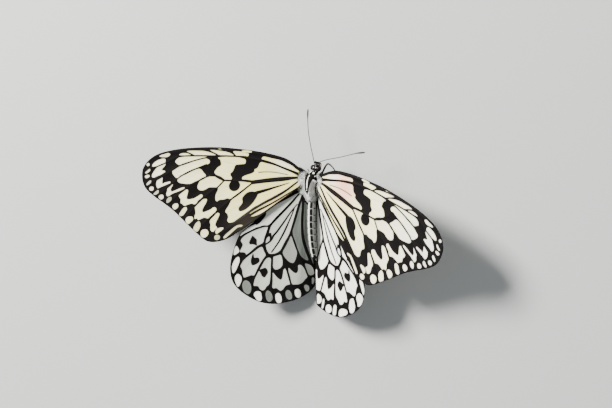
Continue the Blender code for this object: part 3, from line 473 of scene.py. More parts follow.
class Tint(Enum):
    """Colours of scales, skin, floor and painted shade, reflection and sheen, as linear red, green and blue.
    """

    WHITE = (0.84, 0.85, 0.82)
    CREAM = (0.87, 0.79, 0.26)
    # Painted reflection: pink light reflected onto the forewings
    BLUSH = (0.86, 0.43, 0.32)
    # Painted shade: the grey green that the pale of a wing takes where it lies in shade
    SMOKE = (0.046, 0.060, 0.049)
    SOOT = (0.0015, 0.0012, 0.0012)
    PITCH = (0.005, 0.004, 0.004)
    # Painted sheen: the warm dark grey of a highlight on the black
    UMBER = (0.022, 0.018, 0.014)
    ASH = (0.20, 0.20, 0.195)
    SLATE = (0.095, 0.098, 0.092)
    AMBER = (0.07, 0.032, 0.014)
    FLOOR_DARK = (0.33, 0.34, 0.335)
    FLOOR_LIGHT = (0.36, 0.37, 0.365)


# Making meshes
def linked(name: str, data: object) -> Object:
    """A new object with this data, linked to the scene."""
    obj = bpy.data.objects.new(name, data)
    bpy.context.scene.collection.objects.link(obj)
    return obj


def make_object(name: str, verts: np.ndarray, faces: list, values: Values | None = None) -> Object:
    """A mesh object at the origin, with its values per point stored as attributes.

    Args:
        name: The piece's name.
        verts: Places in the row frame, in metres.
        faces: Corner numbers of each face.
        values: Attribute name to one number, or one vector, for each point.

    Returns:
        The new object, linked to the scene.
    """
    mesh = bpy.data.meshes.new(name)
    mesh.from_pydata([tuple(v) for v in verts], [], faces)
    mesh.shade_smooth()
    for key, data in (values or {}).items():
        data = np.asarray(data, np.float32)
        flat = data.ndim == 1
        attribute = mesh.attributes.new(key, "FLOAT" if flat else "FLOAT_VECTOR", "POINT")
        attribute.data.foreach_set("value" if flat else "vector", data.ravel())
    mesh.update()
    return linked(name, mesh)


def settle(obj: Object, finish: Material, slot: str, nodes: tuple[str, ...] = ()) -> None:
    """Gives a piece its finish and body, hides the solids that it stands for, and reports it with its slot.

    Args:
        obj: The finished piece.
        finish: Its material.
        slot: The record's material slot.
        nodes: Names of the solids that it replaces.
    """
    obj.data.materials.clear()
    obj.data.materials.append(finish)
    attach(obj, "root")
    if nodes:
        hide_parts(*nodes)
    LOG.info("%s: %d faces, slot %s, stands for %s", obj.name, len(obj.data.polygons), slot, nodes or "none")


def add_plan(mesh: Mesh, plan: np.ndarray, name: str) -> None:
    """Stores a flat plan of the points as a UV map.

    Args:
        mesh: The mesh that gets the map.
        plan: Place of each point on the plan, from 0 to 1.
        name: The map's name.
    """
    layer = mesh.uv_layers.new(name=name)
    index = np.zeros(len(mesh.loops), np.int32)
    mesh.loops.foreach_get("vertex_index", index)
    layer.data.foreach_set("uv", plan[index].astype(np.float32).ravel())


def flat_plan(plan: np.ndarray) -> np.ndarray:
    """A plan with a third number, 0, so that it can be stored as vectors."""
    return np.column_stack([plan, np.zeros(len(plan))])


def ring_faces(count: int, sides: int) -> Faces:
    """Faces over rings of points in a row, closed at both ends.

    Args:
        count: Number of rings.
        sides: Points in each ring.

    Returns:
        Corner numbers. The first end's point and the last end's come after those of the rings.
    """
    faces = []
    for i in range(count - 1):
        for k in range(sides):
            a, b = i * sides + k, i * sides + (k + 1) % sides
            faces.append((a, a + sides, b + sides, b))
    first, last, base = count * sides, count * sides + 1, (count - 1) * sides
    for k in range(sides):
        faces.append((k, (k + 1) % sides, first))
        faces.append((base + (k + 1) % sides, base + k, last))
    return faces


def tube(path: np.ndarray, radii: np.ndarray, sides: int) -> tuple[np.ndarray, Faces, np.ndarray]:
    """Closed round tube along a path, with a domed end at both ends.

    Args:
        path: Its middle line, in millimetres.
        radii: Its radius at each point.
        sides: Points round it.

    Returns:
        Its points, its faces and a plan of each point (along, round), from 0 to 1.
    """
    heading = directions(path)
    across = np.cross(heading[0], (0.0, 0.0, 1.0))
    if np.linalg.norm(across) < 0.2:
        across = np.cross(heading[0], (1.0, 0.0, 0.0))
    verts, plan = [], []
    angles = 2 * math.pi * np.arange(sides) / sides
    for i, (point, ahead, radius) in enumerate(zip(path, heading, radii)):
        across = across - ahead * (across @ ahead)
        across /= np.linalg.norm(across)
        up = np.cross(across, ahead)
        verts += list(point + radius * (np.outer(np.cos(angles), across) + np.outer(np.sin(angles), up)))
        plan += [(i / len(path), k / sides) for k in range(sides)]
    verts += [path[0] - 0.5 * radii[0] * heading[0], path[-1] + 0.5 * radii[-1] * heading[-1]]
    plan += [(0.0, 0.5), (1.0, 0.5)]
    return np.array(verts), ring_faces(len(path), sides), np.array(plan)


def round_tube(values: np.ndarray, sides: int) -> np.ndarray:
    """Values along a tube's path as values at the tube's points."""
    return np.concatenate([np.repeat(values, sides, axis=0), values[:1], values[-1:]])


def clean(obj: Object) -> None:
    """Drops the points of a closed piece that no face uses, and turns all its faces outwards."""
    bm = bmesh.new()
    bm.from_mesh(obj.data)
    bmesh.ops.delete(bm, geom=[v for v in bm.verts if not v.link_faces], context="VERTS")
    bmesh.ops.recalc_face_normals(bm, faces=bm.faces)
    bm.to_mesh(obj.data)
    bm.free()


# Finishes
class Wiring:
    """Short words for building a node tree."""

    def __init__(self, tree: NodeTree) -> None:
        """Keeps the tree that the nodes go into."""
        self.tree = tree

    def add(self, kind: str, settings: dict | None = None, **inputs: object) -> Node:
        """Adds a node.

        Args:
            kind: Its bl_idname.
            settings: Properties of the node.
            inputs: Socket name, with _ for a space, and its value or what feeds it.

        Returns:
            The node.
        """
        node = self.tree.nodes.new(kind)
        for key, value in (settings or {}).items():
            setattr(node, key, value)
        for key, value in inputs.items():
            self.feed(node.inputs[key.replace("_", " ")], value)
        return node

    def feed(self, socket: Socket, value: object) -> None:
        """Links a socket, or a node's first one, into another, or sets its value."""
        if isinstance(value, Node):
            value = value.outputs[0]
        if isinstance(value, NodeSocket):
            self.tree.links.new(value, socket)
        else:
            socket.default_value = value

    def math(self, operation: str, first: object, second: object) -> Socket:
        """A Math node's result."""
        node = self.add("ShaderNodeMath", {"operation": operation})
        self.feed(node.inputs[0], first)
        self.feed(node.inputs[1], second)
        return node.outputs[0]

    def times(self, first: object, second: object) -> Socket:
        """A product."""
        return self.math("MULTIPLY", first, second)

    def over(self, first: object, second: object) -> Socket:
        """A quotient."""
        return self.math("DIVIDE", first, second)

    def plus(self, first: object, second: object) -> Socket:
        """A sum."""
        return self.math("ADD", first, second)

    def minus(self, first: object, second: object) -> Socket:
        """A difference."""
        return self.math("SUBTRACT", first, second)

    def vector_sum(self, first: object, second: object) -> Socket:
        """Sum of two vectors."""
        node = self.add("ShaderNodeVectorMath", {"operation": "ADD"})
        self.feed(node.inputs[0], first)
        self.feed(node.inputs[1], second)
        return node.outputs[0]

    def scaled(self, vector: object, factor: object) -> Socket:
        """A vector times a number."""
        node = self.add("ShaderNodeVectorMath", {"operation": "SCALE"}, Vector=vector, Scale=factor)
        return node.outputs[0]

    def mix(self, factor: object, first: object, second: object) -> Socket:
        """Mix of two colours."""
        node = self.add("ShaderNodeMix", {"data_type": "RGBA"})
        for socket, value in zip((node.inputs[0], node.inputs[6], node.inputs[7]), (factor, first, second)):
            self.feed(socket, (*value.value, 1.0) if isinstance(value, Tint) else value)
        return node.outputs[2]

    def attribute(self, name: str, output: str = "Fac") -> Socket:
        """A number stored on the mesh, or its vector with the output "Vector"."""
        return self.add("ShaderNodeAttribute", {"attribute_name": name}).outputs[output]

    def smooth_step(self, value: object, low: object, high: object) -> Socket:
        """Smooth rise from 0 at low to 1 at high."""
        settings = {"interpolation_type": "SMOOTHSTEP"}
        return self.add("ShaderNodeMapRange", settings, Value=value, From_Min=low, From_Max=high).outputs[0]

    def place(self) -> Socket:
        """Where the point lies in the object."""
        return self.add("ShaderNodeTexCoord").outputs["Object"]

    def noise(self, place: object, scale: float, detail: float, roughness: float = 0.5) -> Socket:
        """Soft noise from 0 to 1."""
        node = self.add("ShaderNodeTexNoise", Vector=place, Scale=scale, Detail=detail, Roughness=roughness)
        return node.outputs[0]

    def cells(self, place: object, scale: object, randomness: float = 1.0) -> Sockets:
        """Outputs of a texture of cells."""
        return self.add("ShaderNodeTexVoronoi", Vector=place, Scale=scale, Randomness=randomness).outputs

    def group(self, name: str, **inputs: object) -> Sockets:
        """Outputs of one of this script's shader groups."""
        return self.add("ShaderNodeGroup", {"node_tree": bpy.data.node_groups[name]}, **inputs).outputs


def new_group(name: str, inputs: list[str], outputs: list[str]) -> tuple[Wiring, Sockets, Sockets]:
    """An empty shader group with named number sockets.

    Args:
        name: The group's name.
        inputs: Names of its inputs.
        outputs: Names of its outputs.

    Returns:
        The wiring of its tree, the sockets that bring the inputs and those that take the outputs.
    """
    tree = bpy.data.node_groups.new(name, "ShaderNodeTree")
    for way, keys in (("INPUT", inputs), ("OUTPUT", outputs)):
        for key in keys:
            tree.interface.new_socket(key, in_out=way, socket_type="NodeSocketFloat")
    w = Wiring(tree)
    return w, w.add("NodeGroupInput").outputs, w.add("NodeGroupOutput").inputs


def make_ragged_edge() -> None:
    """Signed distance in millimetres to a mask whose edge wanders a little, as rows of scales make it."""
    w, given, out = new_group("ragged_edge", ["Ink", "Wander", "Softness"], ["Mask"])
    noise = w.noise(w.place(), 2600.0, 2.0, 0.6)
    moved = w.plus(given["Ink"], w.times(w.minus(noise, 0.5), w.times(given["Wander"], 3.0)))
    w.feed(out["Mask"], w.smooth_step(moved, w.times(given["Softness"], -1.0), given["Softness"]))


def make_scale_rows() -> None:
    """Fine overlapping scales: a height for bump and a faint light and dark from scale to scale."""
    w, given, out = new_group("scale_rows", ["Size"], ["Height", "Shade"])
    place = w.place()
    cells = w.cells(place, w.over(1.0 / MM, given["Size"]))
    grey = w.add("ShaderNodeSeparateColor", Color=cells["Color"])
    w.feed(out["Height"], w.minus(1.0, cells["Distance"]))
    w.feed(out["Shade"], w.plus(w.times(grey, 0.45), w.times(w.noise(place, 900.0, 3.0, 0.55), 0.55)))


@dataclass(frozen=True)
class Finish:
    """What every finish has: the plain settings of its shader, and its scales and relief.

    The size of the scales, how far and how softly the edge of the black wanders, and the depth of a relief
    whose height is 1 are in millimetres.
    """

    name: str
    roughness: float = 0.6
    coat: float = 0.0
    coat_roughness: float = 0.12
    specular: float = 0.5
    scale_size: float = 0.11
    wander: float = 0.06
    softness: float = 0.1
    depth: float = 0.014
    strength: float = 0.6

    def material(self) -> Material:
        """Makes the material: the plain settings, then what the finish paints.

        Returns:
            The material.
        """
        material = bpy.data.materials.new(self.name)
        material.use_nodes = True
        shader = material.node_tree.nodes["Principled BSDF"].inputs
        shader["Roughness"].default_value = self.roughness
        shader["Coat Weight"].default_value = self.coat
        shader["Coat Roughness"].default_value = self.coat_roughness
        shader["Specular IOR Level"].default_value = self.specular
        self.paint(Wiring(material.node_tree), shader)
        return material

    def paint(self, w: Wiring, shader: Sockets) -> None:
        """Feeds the shader's colour, and its normal where the finish has a relief.

        Args:
            w: Wiring of the material.
            shader: Inputs of its Principled BSDF.
        """
        raise NotImplementedError

    def rows(self, w: Wiring) -> Sockets:
        """Height and shade of the rows of scales."""
        return w.group("scale_rows", Size=self.scale_size)

    def mask(self, w: Wiring, ink: object) -> Socket:
        """Where the black is, with its slightly ragged edge."""
        return w.group("ragged_edge", Ink=ink, Wander=self.wander, Softness=self.softness)["Mask"]

    def bump(self, w: Wiring, shader: Sockets, height: object) -> None:
        """Feeds the normal with a height."""
        node = w.add("ShaderNodeBump", Height=height, Distance=self.depth * MM, Strength=self.strength)
        w.feed(shader["Normal"], node)


@dataclass(frozen=True)
class WingFinish(Finish):
    """Thin scaled membrane: pale windows, soot black bands and veins, and folds some scales high."""

    roughness: float = 0.52
    fold_height: float = 5.0

    def paint(self, w: Wiring, shader: Sockets) -> None:
        """Reads ink, warmth, grain, and painted shade, reflection and sheen from the mesh. See Finish."""
        ink, rows = w.attribute("ink"), self.rows(w)
        folds = w.noise(w.attribute("grain", "Vector"), 1.0, 4.0, 0.65)
        pale = w.mix(w.attribute("warmth"), Tint.WHITE, Tint.CREAM)
        pale = w.mix(w.attribute("blush"), pale, Tint.BLUSH)
        # Painted light and shade: a low tone turns the pale towards the shaded grey green
        pale = w.mix(w.attribute("tone"), Tint.SMOKE, pale)
        # Greyer near the black: partly the thin membrane's own grey, partly painted shade beside the veins
        pale = w.mix(w.times(w.smooth_step(ink, -0.55, 0.0), 0.22), pale, Tint.ASH)
        pale = w.mix(w.times(w.smooth_step(folds, 0.42, 0.72), 0.24), pale, Tint.ASH)
        pale = w.mix(w.times(rows["Shade"], 0.12), pale, Tint.ASH)
        dark = w.mix(w.times(rows["Shade"], 0.8), Tint.SOOT, Tint.PITCH)
        # Painted sheen: a warm dark grey highlight on the black where its value says
        dark = w.mix(w.attribute("fade"), dark, Tint.UMBER)
        w.feed(shader["Base Color"], w.mix(self.mask(w, ink), pale, dark))
        w.feed(shader["Roughness"], w.plus(self.roughness, w.times(rows["Shade"], 0.2)))
        self.bump(w, shader, w.plus(rows["Height"], w.times(folds, self.fold_height)))


@dataclass(frozen=True)
class SkinFinish(Finish):
    """Scaled skin of the head, thorax and abdomen, black with pale stripes and dots."""

    scale_size: float = 0.09
    wander: float = 0.05
    softness: float = 0.05
    depth: float = 0.02
    strength: float = 0.8

    def paint(self, w: Wiring, shader: Sockets) -> None:
        """Reads ink and tone from the mesh. See Finish."""
        rows = self.rows(w)
        pale = w.mix(w.attribute("tone"), Tint.SLATE, Tint.WHITE)
        pale = w.mix(w.times(rows["Shade"], 0.35), pale, Tint.ASH)
        dark = w.mix(rows["Shade"], Tint.SOOT, Tint.PITCH)
        w.feed(shader["Base Color"], w.mix(self.mask(w, w.attribute("ink")), pale, dark))
        self.bump(w, shader, rows["Height"])


@dataclass(frozen=True)
class HairFinish(Finish):
    """Hairs and hair-like scales, each as dark as the skin under its root."""

    scale_size: float = 0.2

    def paint(self, w: Wiring, shader: Sockets) -> None:
        """Reads hair_tone from the mesh. See Finish."""
        shade = w.minus(self.rows(w)["Shade"], 0.5)
        tone = w.plus(w.attribute("hair_tone"), w.times(shade, 0.5))
        pale = w.mix(w.smooth_step(tone, 0.55, 1.0), Tint.ASH, Tint.WHITE)
        w.feed(shader["Base Color"], w.mix(w.smooth_step(tone, 0.3, 0.62), Tint.PITCH, pale))


@dataclass(frozen=True)
class ShellFinish(Finish):
    """Hard dark shell of legs, feelers and tongue, dusted with paler scales."""

    scale_size: float = 0.07
    depth: float = 0.012
    strength: float = 0.7
    colour: Tint = Tint.PITCH
    worn: Tint = Tint.ASH
    wear: float = 0.2

    def paint(self, w: Wiring, shader: Sockets) -> None:
        """Dusts the shell. See Finish."""
        rows = self.rows(w)
        dust = w.times(w.smooth_step(rows["Shade"], 0.5, 0.8), self.wear)
        w.feed(shader["Base Color"], w.mix(dust, self.colour, self.worn))
        self.bump(w, shader, rows["Height"])


@dataclass(frozen=True)
class EyeFinish(Finish):
    """Compound eye with fine facets."""

    depth: float = 0.008
    facet: float = 0.045

    def paint(self, w: Wiring, shader: Sockets) -> None:
        """Sets facets side by side, with a few paler patches. See Finish."""
        facets = w.cells(w.place(), 1.0 / (self.facet * MM), 0.25)
        patches = w.smooth_step(w.noise(w.place(), 700.0, 1.0), 0.45, 0.75)
        w.feed(shader["Base Color"], w.mix(w.times(patches, 0.12), Tint.SOOT, Tint.AMBER))
        self.bump(w, shader, w.minus(1.0, facets["Distance"]))


@dataclass(frozen=True)
class FloorFinish(Finish):
    """Plain pale studio floor."""

    def paint(self, w: Wiring, shader: Sockets) -> None:
        """Mixes two pale greys. See Finish."""
        w.feed(shader["Base Color"], w.mix(w.noise(w.place(), 6.0, 2.0), Tint.FLOOR_DARK, Tint.FLOOR_LIGHT))


# Hair
@dataclass(frozen=True)
class HairTree:
    """Geometry Nodes tree that plants tapered hairs where a mesh's fluff says, along its comb direction."""

    name: str = "hair_planter"
    stray: float = 0.22
    shortest: float = 0.6
    longest: float = 1.25
    tip: float = 0.12
    sway: float = 0.22
    patch_size: tuple[float, float] = (0.0015, 0.003)

    def build(self) -> NodeTree:
        """Builds the tree: points on the faces, a slim cone on each, turned along the lie, then made real.

        Returns:
            The tree, whose inputs are Geometry, Density, Length, Width, Lie, Seed and Finish.
        """
        tree = bpy.data.node_groups.new(self.name, "GeometryNodeTree")
        floats = dict.fromkeys(("Density", "Length", "Width", "Lie"), "Float")
        for key, kind in {"Geometry": "Geometry", **floats, "Seed": "Int", "Finish": "Material"}.items():
            tree.interface.new_socket(key, in_out="INPUT", socket_type="NodeSocket" + kind)
        tree.interface.new_socket("Geometry", in_out="OUTPUT", socket_type="NodeSocketGeometry")
        w = Wiring(tree)
        given = w.add("NodeGroupInput").outputs
        points = w.add("GeometryNodeDistributePointsOnFaces", Mesh=given["Geometry"], Seed=given["Seed"])
        w.feed(points.inputs["Density"], w.times(self.named(w, "fluff", "FLOAT"), given["Density"]))
        stray = self.drawn_value(w, given, "FLOAT_VECTOR", 0, (-self.stray,) * 3, (self.stray,) * 3)
        upright = w.scaled(points.outputs["Normal"], w.minus(1.0, given["Lie"]))
        combed = w.scaled(self.named(w, "comb", "FLOAT_VECTOR"), given["Lie"])
        way = w.vector_sum(w.vector_sum(upright, combed), stray.outputs[0])
        blade = w.add("GeometryNodeMeshCone", {"fill_type": "NGON"}, Vertices=3, Side_Segments=2)
        w.feed(blade.inputs["Radius Top"], w.times(given["Width"], self.tip))
        w.feed(blade.inputs["Radius Bottom"], w.times(given["Width"], 0.5))
        w.feed(blade.inputs["Depth"], given["Length"])
        size = self.drawn_value(w, given, "FLOAT", 2, self.shortest, self.longest)
        planted = w.add(
            "GeometryNodeInstanceOnPoints", Points=points, Instance=self.with_patch(w, blade, given),
            Rotation=w.add("FunctionNodeAlignRotationToVector", {"axis": "Z"}, Vector=way),
            Scale=w.times(size.outputs[1], self.named(w, "reach", "FLOAT")),
        )
        real = w.add("GeometryNodeRealizeInstances", Geometry=planted)
        root, patch = (self.named(w, name, "FLOAT_VECTOR") for name in ("root_plan", "patch"))
        place = w.vector_sum(root, patch)
        stored = {"data_type": "FLOAT2", "domain": "CORNER"}
        bake = w.add("GeometryNodeStoreNamedAttribute", stored, Geometry=real, Name="OFBake", Value=place)
        painted = w.add("GeometryNodeSetMaterial", Geometry=bake, Material=given["Finish"])
        w.add("NodeGroupOutput", Geometry=painted)
        return tree

    @staticmethod
    def drawn_value(w: Wiring, given: Sockets, kind: str, at: int, low: object, high: object) -> Node:
        """A Random Value node between two limits, of which the lower goes into the input numbered at."""
        node = w.add("FunctionNodeRandomValue", {"data_type": kind}, Seed=given["Seed"])
        node.inputs[at].default_value, node.inputs[at + 1].default_value = low, high
        return node

    @staticmethod
    def named(w: Wiring, name: str, kind: str) -> Socket:
        """A named attribute's value."""
        return w.add("GeometryNodeInputNamedAttribute", {"data_type": kind}, Name=name).outputs[0]

    def with_patch(self, w: Wiring, blade: Node, given: Sockets) -> Node:
        """Bends the hair, and stores on it where its corners lie in its own small patch of the plan.

        Args:
            w: Wiring of the tree.
            blade: The cone of one hair.
            given: Outputs of the tree's Group Input.

        Returns:
            The node that puts out the hair.
        """
        place = w.add("ShaderNodeSeparateXYZ", Vector=w.add("GeometryNodeInputPosition")).outputs
        share = w.over(place["Z"], given["Length"])
        across = w.times(w.over(place["X"], given["Width"]), self.patch_size[0])
        spot = w.add("ShaderNodeCombineXYZ", X=across, Y=w.times(share, self.patch_size[1]))
        stored = {"data_type": "FLOAT_VECTOR", "domain": "POINT"}
        marked = w.add("GeometryNodeStoreNamedAttribute", stored, Geometry=blade, Name="patch", Value=spot)
        bend = w.times(w.times(share, share), w.times(given["Length"], self.sway))
        return w.add("GeometryNodeSetPosition", Geometry=marked, Offset=w.add("ShaderNodeCombineXYZ", X=bend))


@dataclass(frozen=True)
class HairCoat:
    """One kind of hair: how many to a square millimetre, how long and wide in millimetres, and how flat."""

    density: float
    length: float
    width: float
    lie: float
    seed: int

    def grow(self, tree: NodeTree, name: str, source: Object, finish: Material, slot: str) -> None:
        """Plants the hairs on a piece and turns them into a plain mesh of their own.

        Args:
            tree: The tree that plants them.
            name: The new piece's name.
            source: The piece they grow on, with fluff, comb, reach, hair_tone and root_plan stored on it.
            finish: The hairs' material.
            slot: The record's material slot.
        """
        modifier = source.modifiers.new(name, "NODES")
        modifier.node_group = tree
        wanted = {
            "Density": self.density / MM**2, "Length": self.length * MM, "Width": self.width * MM,
            "Lie": self.lie, "Seed": self.seed, "Finish": finish,
        }
        for item in tree.interface.items_tree:
            if item.item_type == "SOCKET" and item.in_out == "INPUT" and item.name in wanted:
                modifier[item.identifier] = wanted[item.name]
        bpy.context.view_layer.update()
        graph = bpy.context.evaluated_depsgraph_get()
        mesh = bpy.data.meshes.new_from_object(source.evaluated_get(graph))
        source.modifiers.remove(modifier)
        mesh.name = name
        settle(linked(name, mesh), finish, slot)


BODY_HAIR = HairCoat(density=47.0, length=0.8, width=0.05, lie=0.74, seed=3)
PALP_HAIR = HairCoat(density=260.0, length=0.5, width=0.04, lie=0.62, seed=7)
LEG_BRISTLES = HairCoat(density=26.0, length=0.34, width=0.04, lie=0.66, seed=9)
WING_DOWN = HairCoat(density=150.0, length=0.62, width=0.042, lie=0.88, seed=12)


# Wings
@dataclass(frozen=True)
class Slant:
    """Stretch and slant that carry a drawing to the wing's own plane."""

    x_row: tuple[float, float]
    y_row: tuple[float, float]
    shift: tuple[float, float]

    def to_plane(self, points: Line | np.ndarray) -> np.ndarray:
        """Drawn points to the wing's plane."""
        return np.array(points, float) @ np.array([self.x_row, self.y_row]).T + self.shift

    def to_drawing(self, points: np.ndarray) -> np.ndarray:
        """Points of the wing's plane back to the drawing."""
        return (points - self.shift) @ np.linalg.inv(np.array([self.x_row, self.y_row])).T


@dataclass(frozen=True)
class WingHold:
    """How a wing is held on the body, as in the solids: angles in degrees, places in millimetres."""

    side: int
    root: tuple[float, float, float]
    up: float
    swing: float
    twist: float
    bends: tuple[float, float]
    fold: float = 0.0
    crease_start: float = 1.2
    crease_slope: float = 0.44
    crease_length: float = 2.5

    def carry(self, flat: np.ndarray, height: np.ndarray) -> np.ndarray:
        """The wing's plane, with a height over it, to the body's frame.

        Args:
            flat: Places in the plane, one a row.
            height: Their heights over it.

        Returns:
            Places in the body's frame, in millimetres.
        """
        points = np.column_stack([flat, height])
        points = self.folded(points) if self.fold else points
        for axis, curvature in enumerate(self.bends):
            if curvature:
                turned = points[:, axis] * curvature
                points[:, axis] = np.sin(turned) / curvature
                points[:, 2] += (1 - np.cos(turned)) / curvature
        matrix = turn("y", -self.up) @ turn("z", self.swing) @ turn("x", self.twist)
        placed = points @ matrix.T + np.array(self.root)
        placed[:, 0] *= self.side
        return placed

    def folded(self, points: np.ndarray) -> np.ndarray:
        """Bends what lies inside the crease smoothly down beside the abdomen.

        Args:
            points: Places in the plane and heights over it, one a row.

        Returns:
            The bent places.
        """
        angle = math.radians(self.fold)
        crease = self.crease_start + self.crease_slope * np.maximum(-points[:, 1], 0.0)
        inward = np.maximum(crease - points[:, 0], 0.0)
        turned = np.minimum(inward, self.crease_length) * angle / self.crease_length
        straight = np.maximum(inward - self.crease_length, 0.0)
        reach = self.crease_length / angle
        along = reach * np.sin(turned) + straight * math.cos(angle)
        drop = reach * (1 - np.cos(turned)) + straight * math.sin(angle)
        slope = np.where(straight > 0, angle, turned)
        lift = points[:, 2]
        x = points[:, 0] + inward - along - lift * np.sin(slope)
        return np.column_stack([x, points[:, 1], lift * np.cos(slope) - drop])


@dataclass(frozen=True)
class Glow:
    """A soft patch of one colour value on the drawing of a wing."""

    value: str
    centre: tuple[float, float]
    radius: float
    amount: float


@dataclass
class Wing:
    """One wing: a thin crowned sheet with raised veins, and its marks as a signed distance.

    Strokes and spots are drawn wider by their spread, windows and dots smaller by their shrink. A window or
    a dot may have a tone of its own, a painted light and shade which reaches a little into the black round
    it. Lengths are in millimetres, and rim_gap is a share of the spacing.
    """

    name: str
    hold: WingHold
    slant: Slant
    edge: Line
    veins: list[str]
    windows: dict[str, str]
    spots: dict[str, str]
    strokes: list[tuple[float, float, str]]
    dots: dict[str, str]
    levels: dict[str, float]
    glows: list[Glow] = field(default_factory=list)
    window_shading: dict[str, float] = field(default_factory=dict)
    dot_shading: dict[str, float] = field(default_factory=dict)
    spacing: float = 0.25
    rim_gap: float = 0.55
    plan_corner: tuple[float, float] = (2.0, 48.0)
    plan_size: tuple[float, float] = (70.0, 128.0)
    half_thickness: float = 0.09
    root_thickness: float = 0.25
    vein_rise: float = 0.13
    vein_width: float = 0.34
    sag: float = 0.16
    sag_width: float = 2.2
    rounding: float = 0.3
    margin: float = 0.24
    stroke_spread: float = 0.24
    spot_spread: float = 0.0
    window_shrink: float = 0.06
    dot_shrink: float = 0.08
    tone_reach: float = 0.3
    fringe: float = 0.22

    def plan(self) -> tuple[np.ndarray, Faces, np.ndarray]:
        """Even triangles over the wing's plane.

        Returns:
            The flat points, the triangles and the closed rim.
        """
        rim = smooth_curve(self.slant.to_plane(self.edge), self.spacing, closed=True)
        closed = np.vstack([rim, rim[:1]])
        low, high = rim.min(axis=0), rim.max(axis=0)
        rows = np.arange(low[1], high[1], self.spacing * math.sqrt(0.75))
        line = np.arange(low[0], high[0], self.spacing)
        shifts = np.arange(len(rows)) % 2 * self.spacing / 2
        grid = np.vstack([np.column_stack([line + x, np.full(len(line), y)]) for x, y in zip(shifts, rows)])
        grid = grid[inside(grid, rim)]
        near = np.floor(rim / self.spacing).astype(int)
        taken = {(a + i, b + j) for a, b in near for i in (-1, 0, 1) for j in (-1, 0, 1)}
        close = np.array([(a, b) in taken for a, b in np.floor(grid / self.spacing).astype(int)])
        distance = np.full(len(grid), np.inf)
        distance[close] = nearest_on_path(grid[close], closed)[0]
        corners = np.vstack([rim, grid[distance > self.rim_gap * self.spacing]])
        result = delaunay_2d_cdt([Vector(p) for p in corners], [], [list(range(len(rim)))], 1, 1e-5)
        return np.array([tuple(v) for v in result[0]]), [tuple(f) for f in result[2]], closed

    def marks(self, drawing: np.ndarray, rim_distance: np.ndarray) -> tuple[np.ndarray, np.ndarray]:
        """The signed distance of the black, in millimetres, and the painted light and shade of what is pale.

        Args:
            drawing: The mesh's points on the drawing.
            rim_distance: Their distance to the wing's edge, which is black.

        Returns:
            The distance, from -1 to 1, and the painted light and shade, where 1 is that of the whole wing.
        """
        ink, tone = np.ones(len(drawing)), np.ones(len(drawing))

        def clear(shapes: dict[str, str], shrink: float, tones: dict[str, float]) -> None:
            """Takes pale shapes out of the black, and paints light and shade on those that have a tone."""
            for key, text in shapes.items():
                near, depth = self.loop_distance(drawing, text)
                ink[near] = np.minimum(ink[near], shrink - depth)
                if key in tones:
                    tone[near] = np.where(depth > -self.tone_reach, tones[key], tone[near])

        clear(self.windows, self.window_shrink, self.window_shading)
        for text in self.spots.values():
            near, depth = self.loop_distance(drawing, text)
            ink[near] = np.maximum(ink[near], depth + self.spot_spread)
        for first, last, text in self.strokes:
            near, depth = self.stroke_distance(drawing, first, last, text)
            ink[near] = np.maximum(ink[near], depth)
        clear(self.dots, self.dot_shrink, self.dot_shading)
        return np.clip(np.maximum(ink, self.margin - rim_distance), -1, 1), tone

    @staticmethod
    def loop_distance(points: np.ndarray, text: str) -> tuple[np.ndarray, np.ndarray]:
        """Signed distance to a closed drawn line, positive inside, for the points near it.

        Args:
            points: Places on the drawing.
            text: The line's pairs.

        Returns:
            The numbers of the near points, and their distances.
        """
        loop = rounded_loop(drawn(text), LOOP_STEP)
        near = near_box(points, loop, MARK_REACH)
        distance = nearest_on_path(points[near], np.vstack([loop, loop[:1]]))[0]
        return near, np.where(inside(points[near], loop), distance, -distance)

    def stroke_distance(
        self, points: np.ndarray, first: float, last: float, text: str
    ) -> tuple[np.ndarray, np.ndarray]:
        """Signed distance to a tapered stroke, positive inside, for the points near it.

        Args:
            points: Places on the drawing.
            first: Width at the start.
            last: Width at the end.
            text: The pairs of its middle line.

        Returns:
            The numbers of the near points, and their distances.
        """
        path = smooth_curve(drawn(text), STROKE_STEP)
        near = near_box(points, path, MARK_REACH + max(first, last) / 2)
        distance, share = nearest_on_path(points[near], path)
        return near, 0.5 * (first + (last - first) * share + self.stroke_spread) - distance

    def relief(self, flat: np.ndarray, closed: np.ndarray) -> tuple[np.ndarray, np.ndarray, np.ndarray]:
        """Height of the sheet's middle, its half thickness and the distance to its edge.

        Args:
            flat: The flat points.
            closed: The closed rim.

        Returns:
            The three values for each point.
        """
        vein, distance = np.full(len(flat), FAR), np.full(len(flat), FAR)
        for text in self.veins:
            path = smooth_curve(self.slant.to_plane(drawn(text)), VEIN_STEP)
            near = near_box(flat, path, 3.0)
            vein[near] = np.minimum(vein[near], nearest_on_path(flat[near], path)[0])
        for start in range(0, len(closed) - 1, RIM_STRETCH):
            part = closed[start:start + RIM_STRETCH + 1]
            near = near_box(flat, part, 1.0)
            distance[near] = np.minimum(distance[near], nearest_on_path(flat[near], part)[0])
        root = np.linalg.norm(flat, axis=1)
        edge = np.sqrt(np.clip(1 - (1 - np.clip(distance / self.rounding, 0, 1)) ** 2, 0, 1))
        sag = self.sag * (1 - bell(vein, 0.0, self.sag_width))
        middle = -sag * ramp(distance, 0.0, 1.5) * ramp(root, 2.0, 8.0)
        ridge = self.vein_rise * bell(vein, 0.0, self.vein_width) * (1 - 0.45 * ramp(root, 5.0, 55.0))
        half = self.half_thickness + ridge
        half = half + (self.root_thickness - self.half_thickness) * (1 - ramp(root, 1.0, 7.0))
        return middle, half * edge, distance

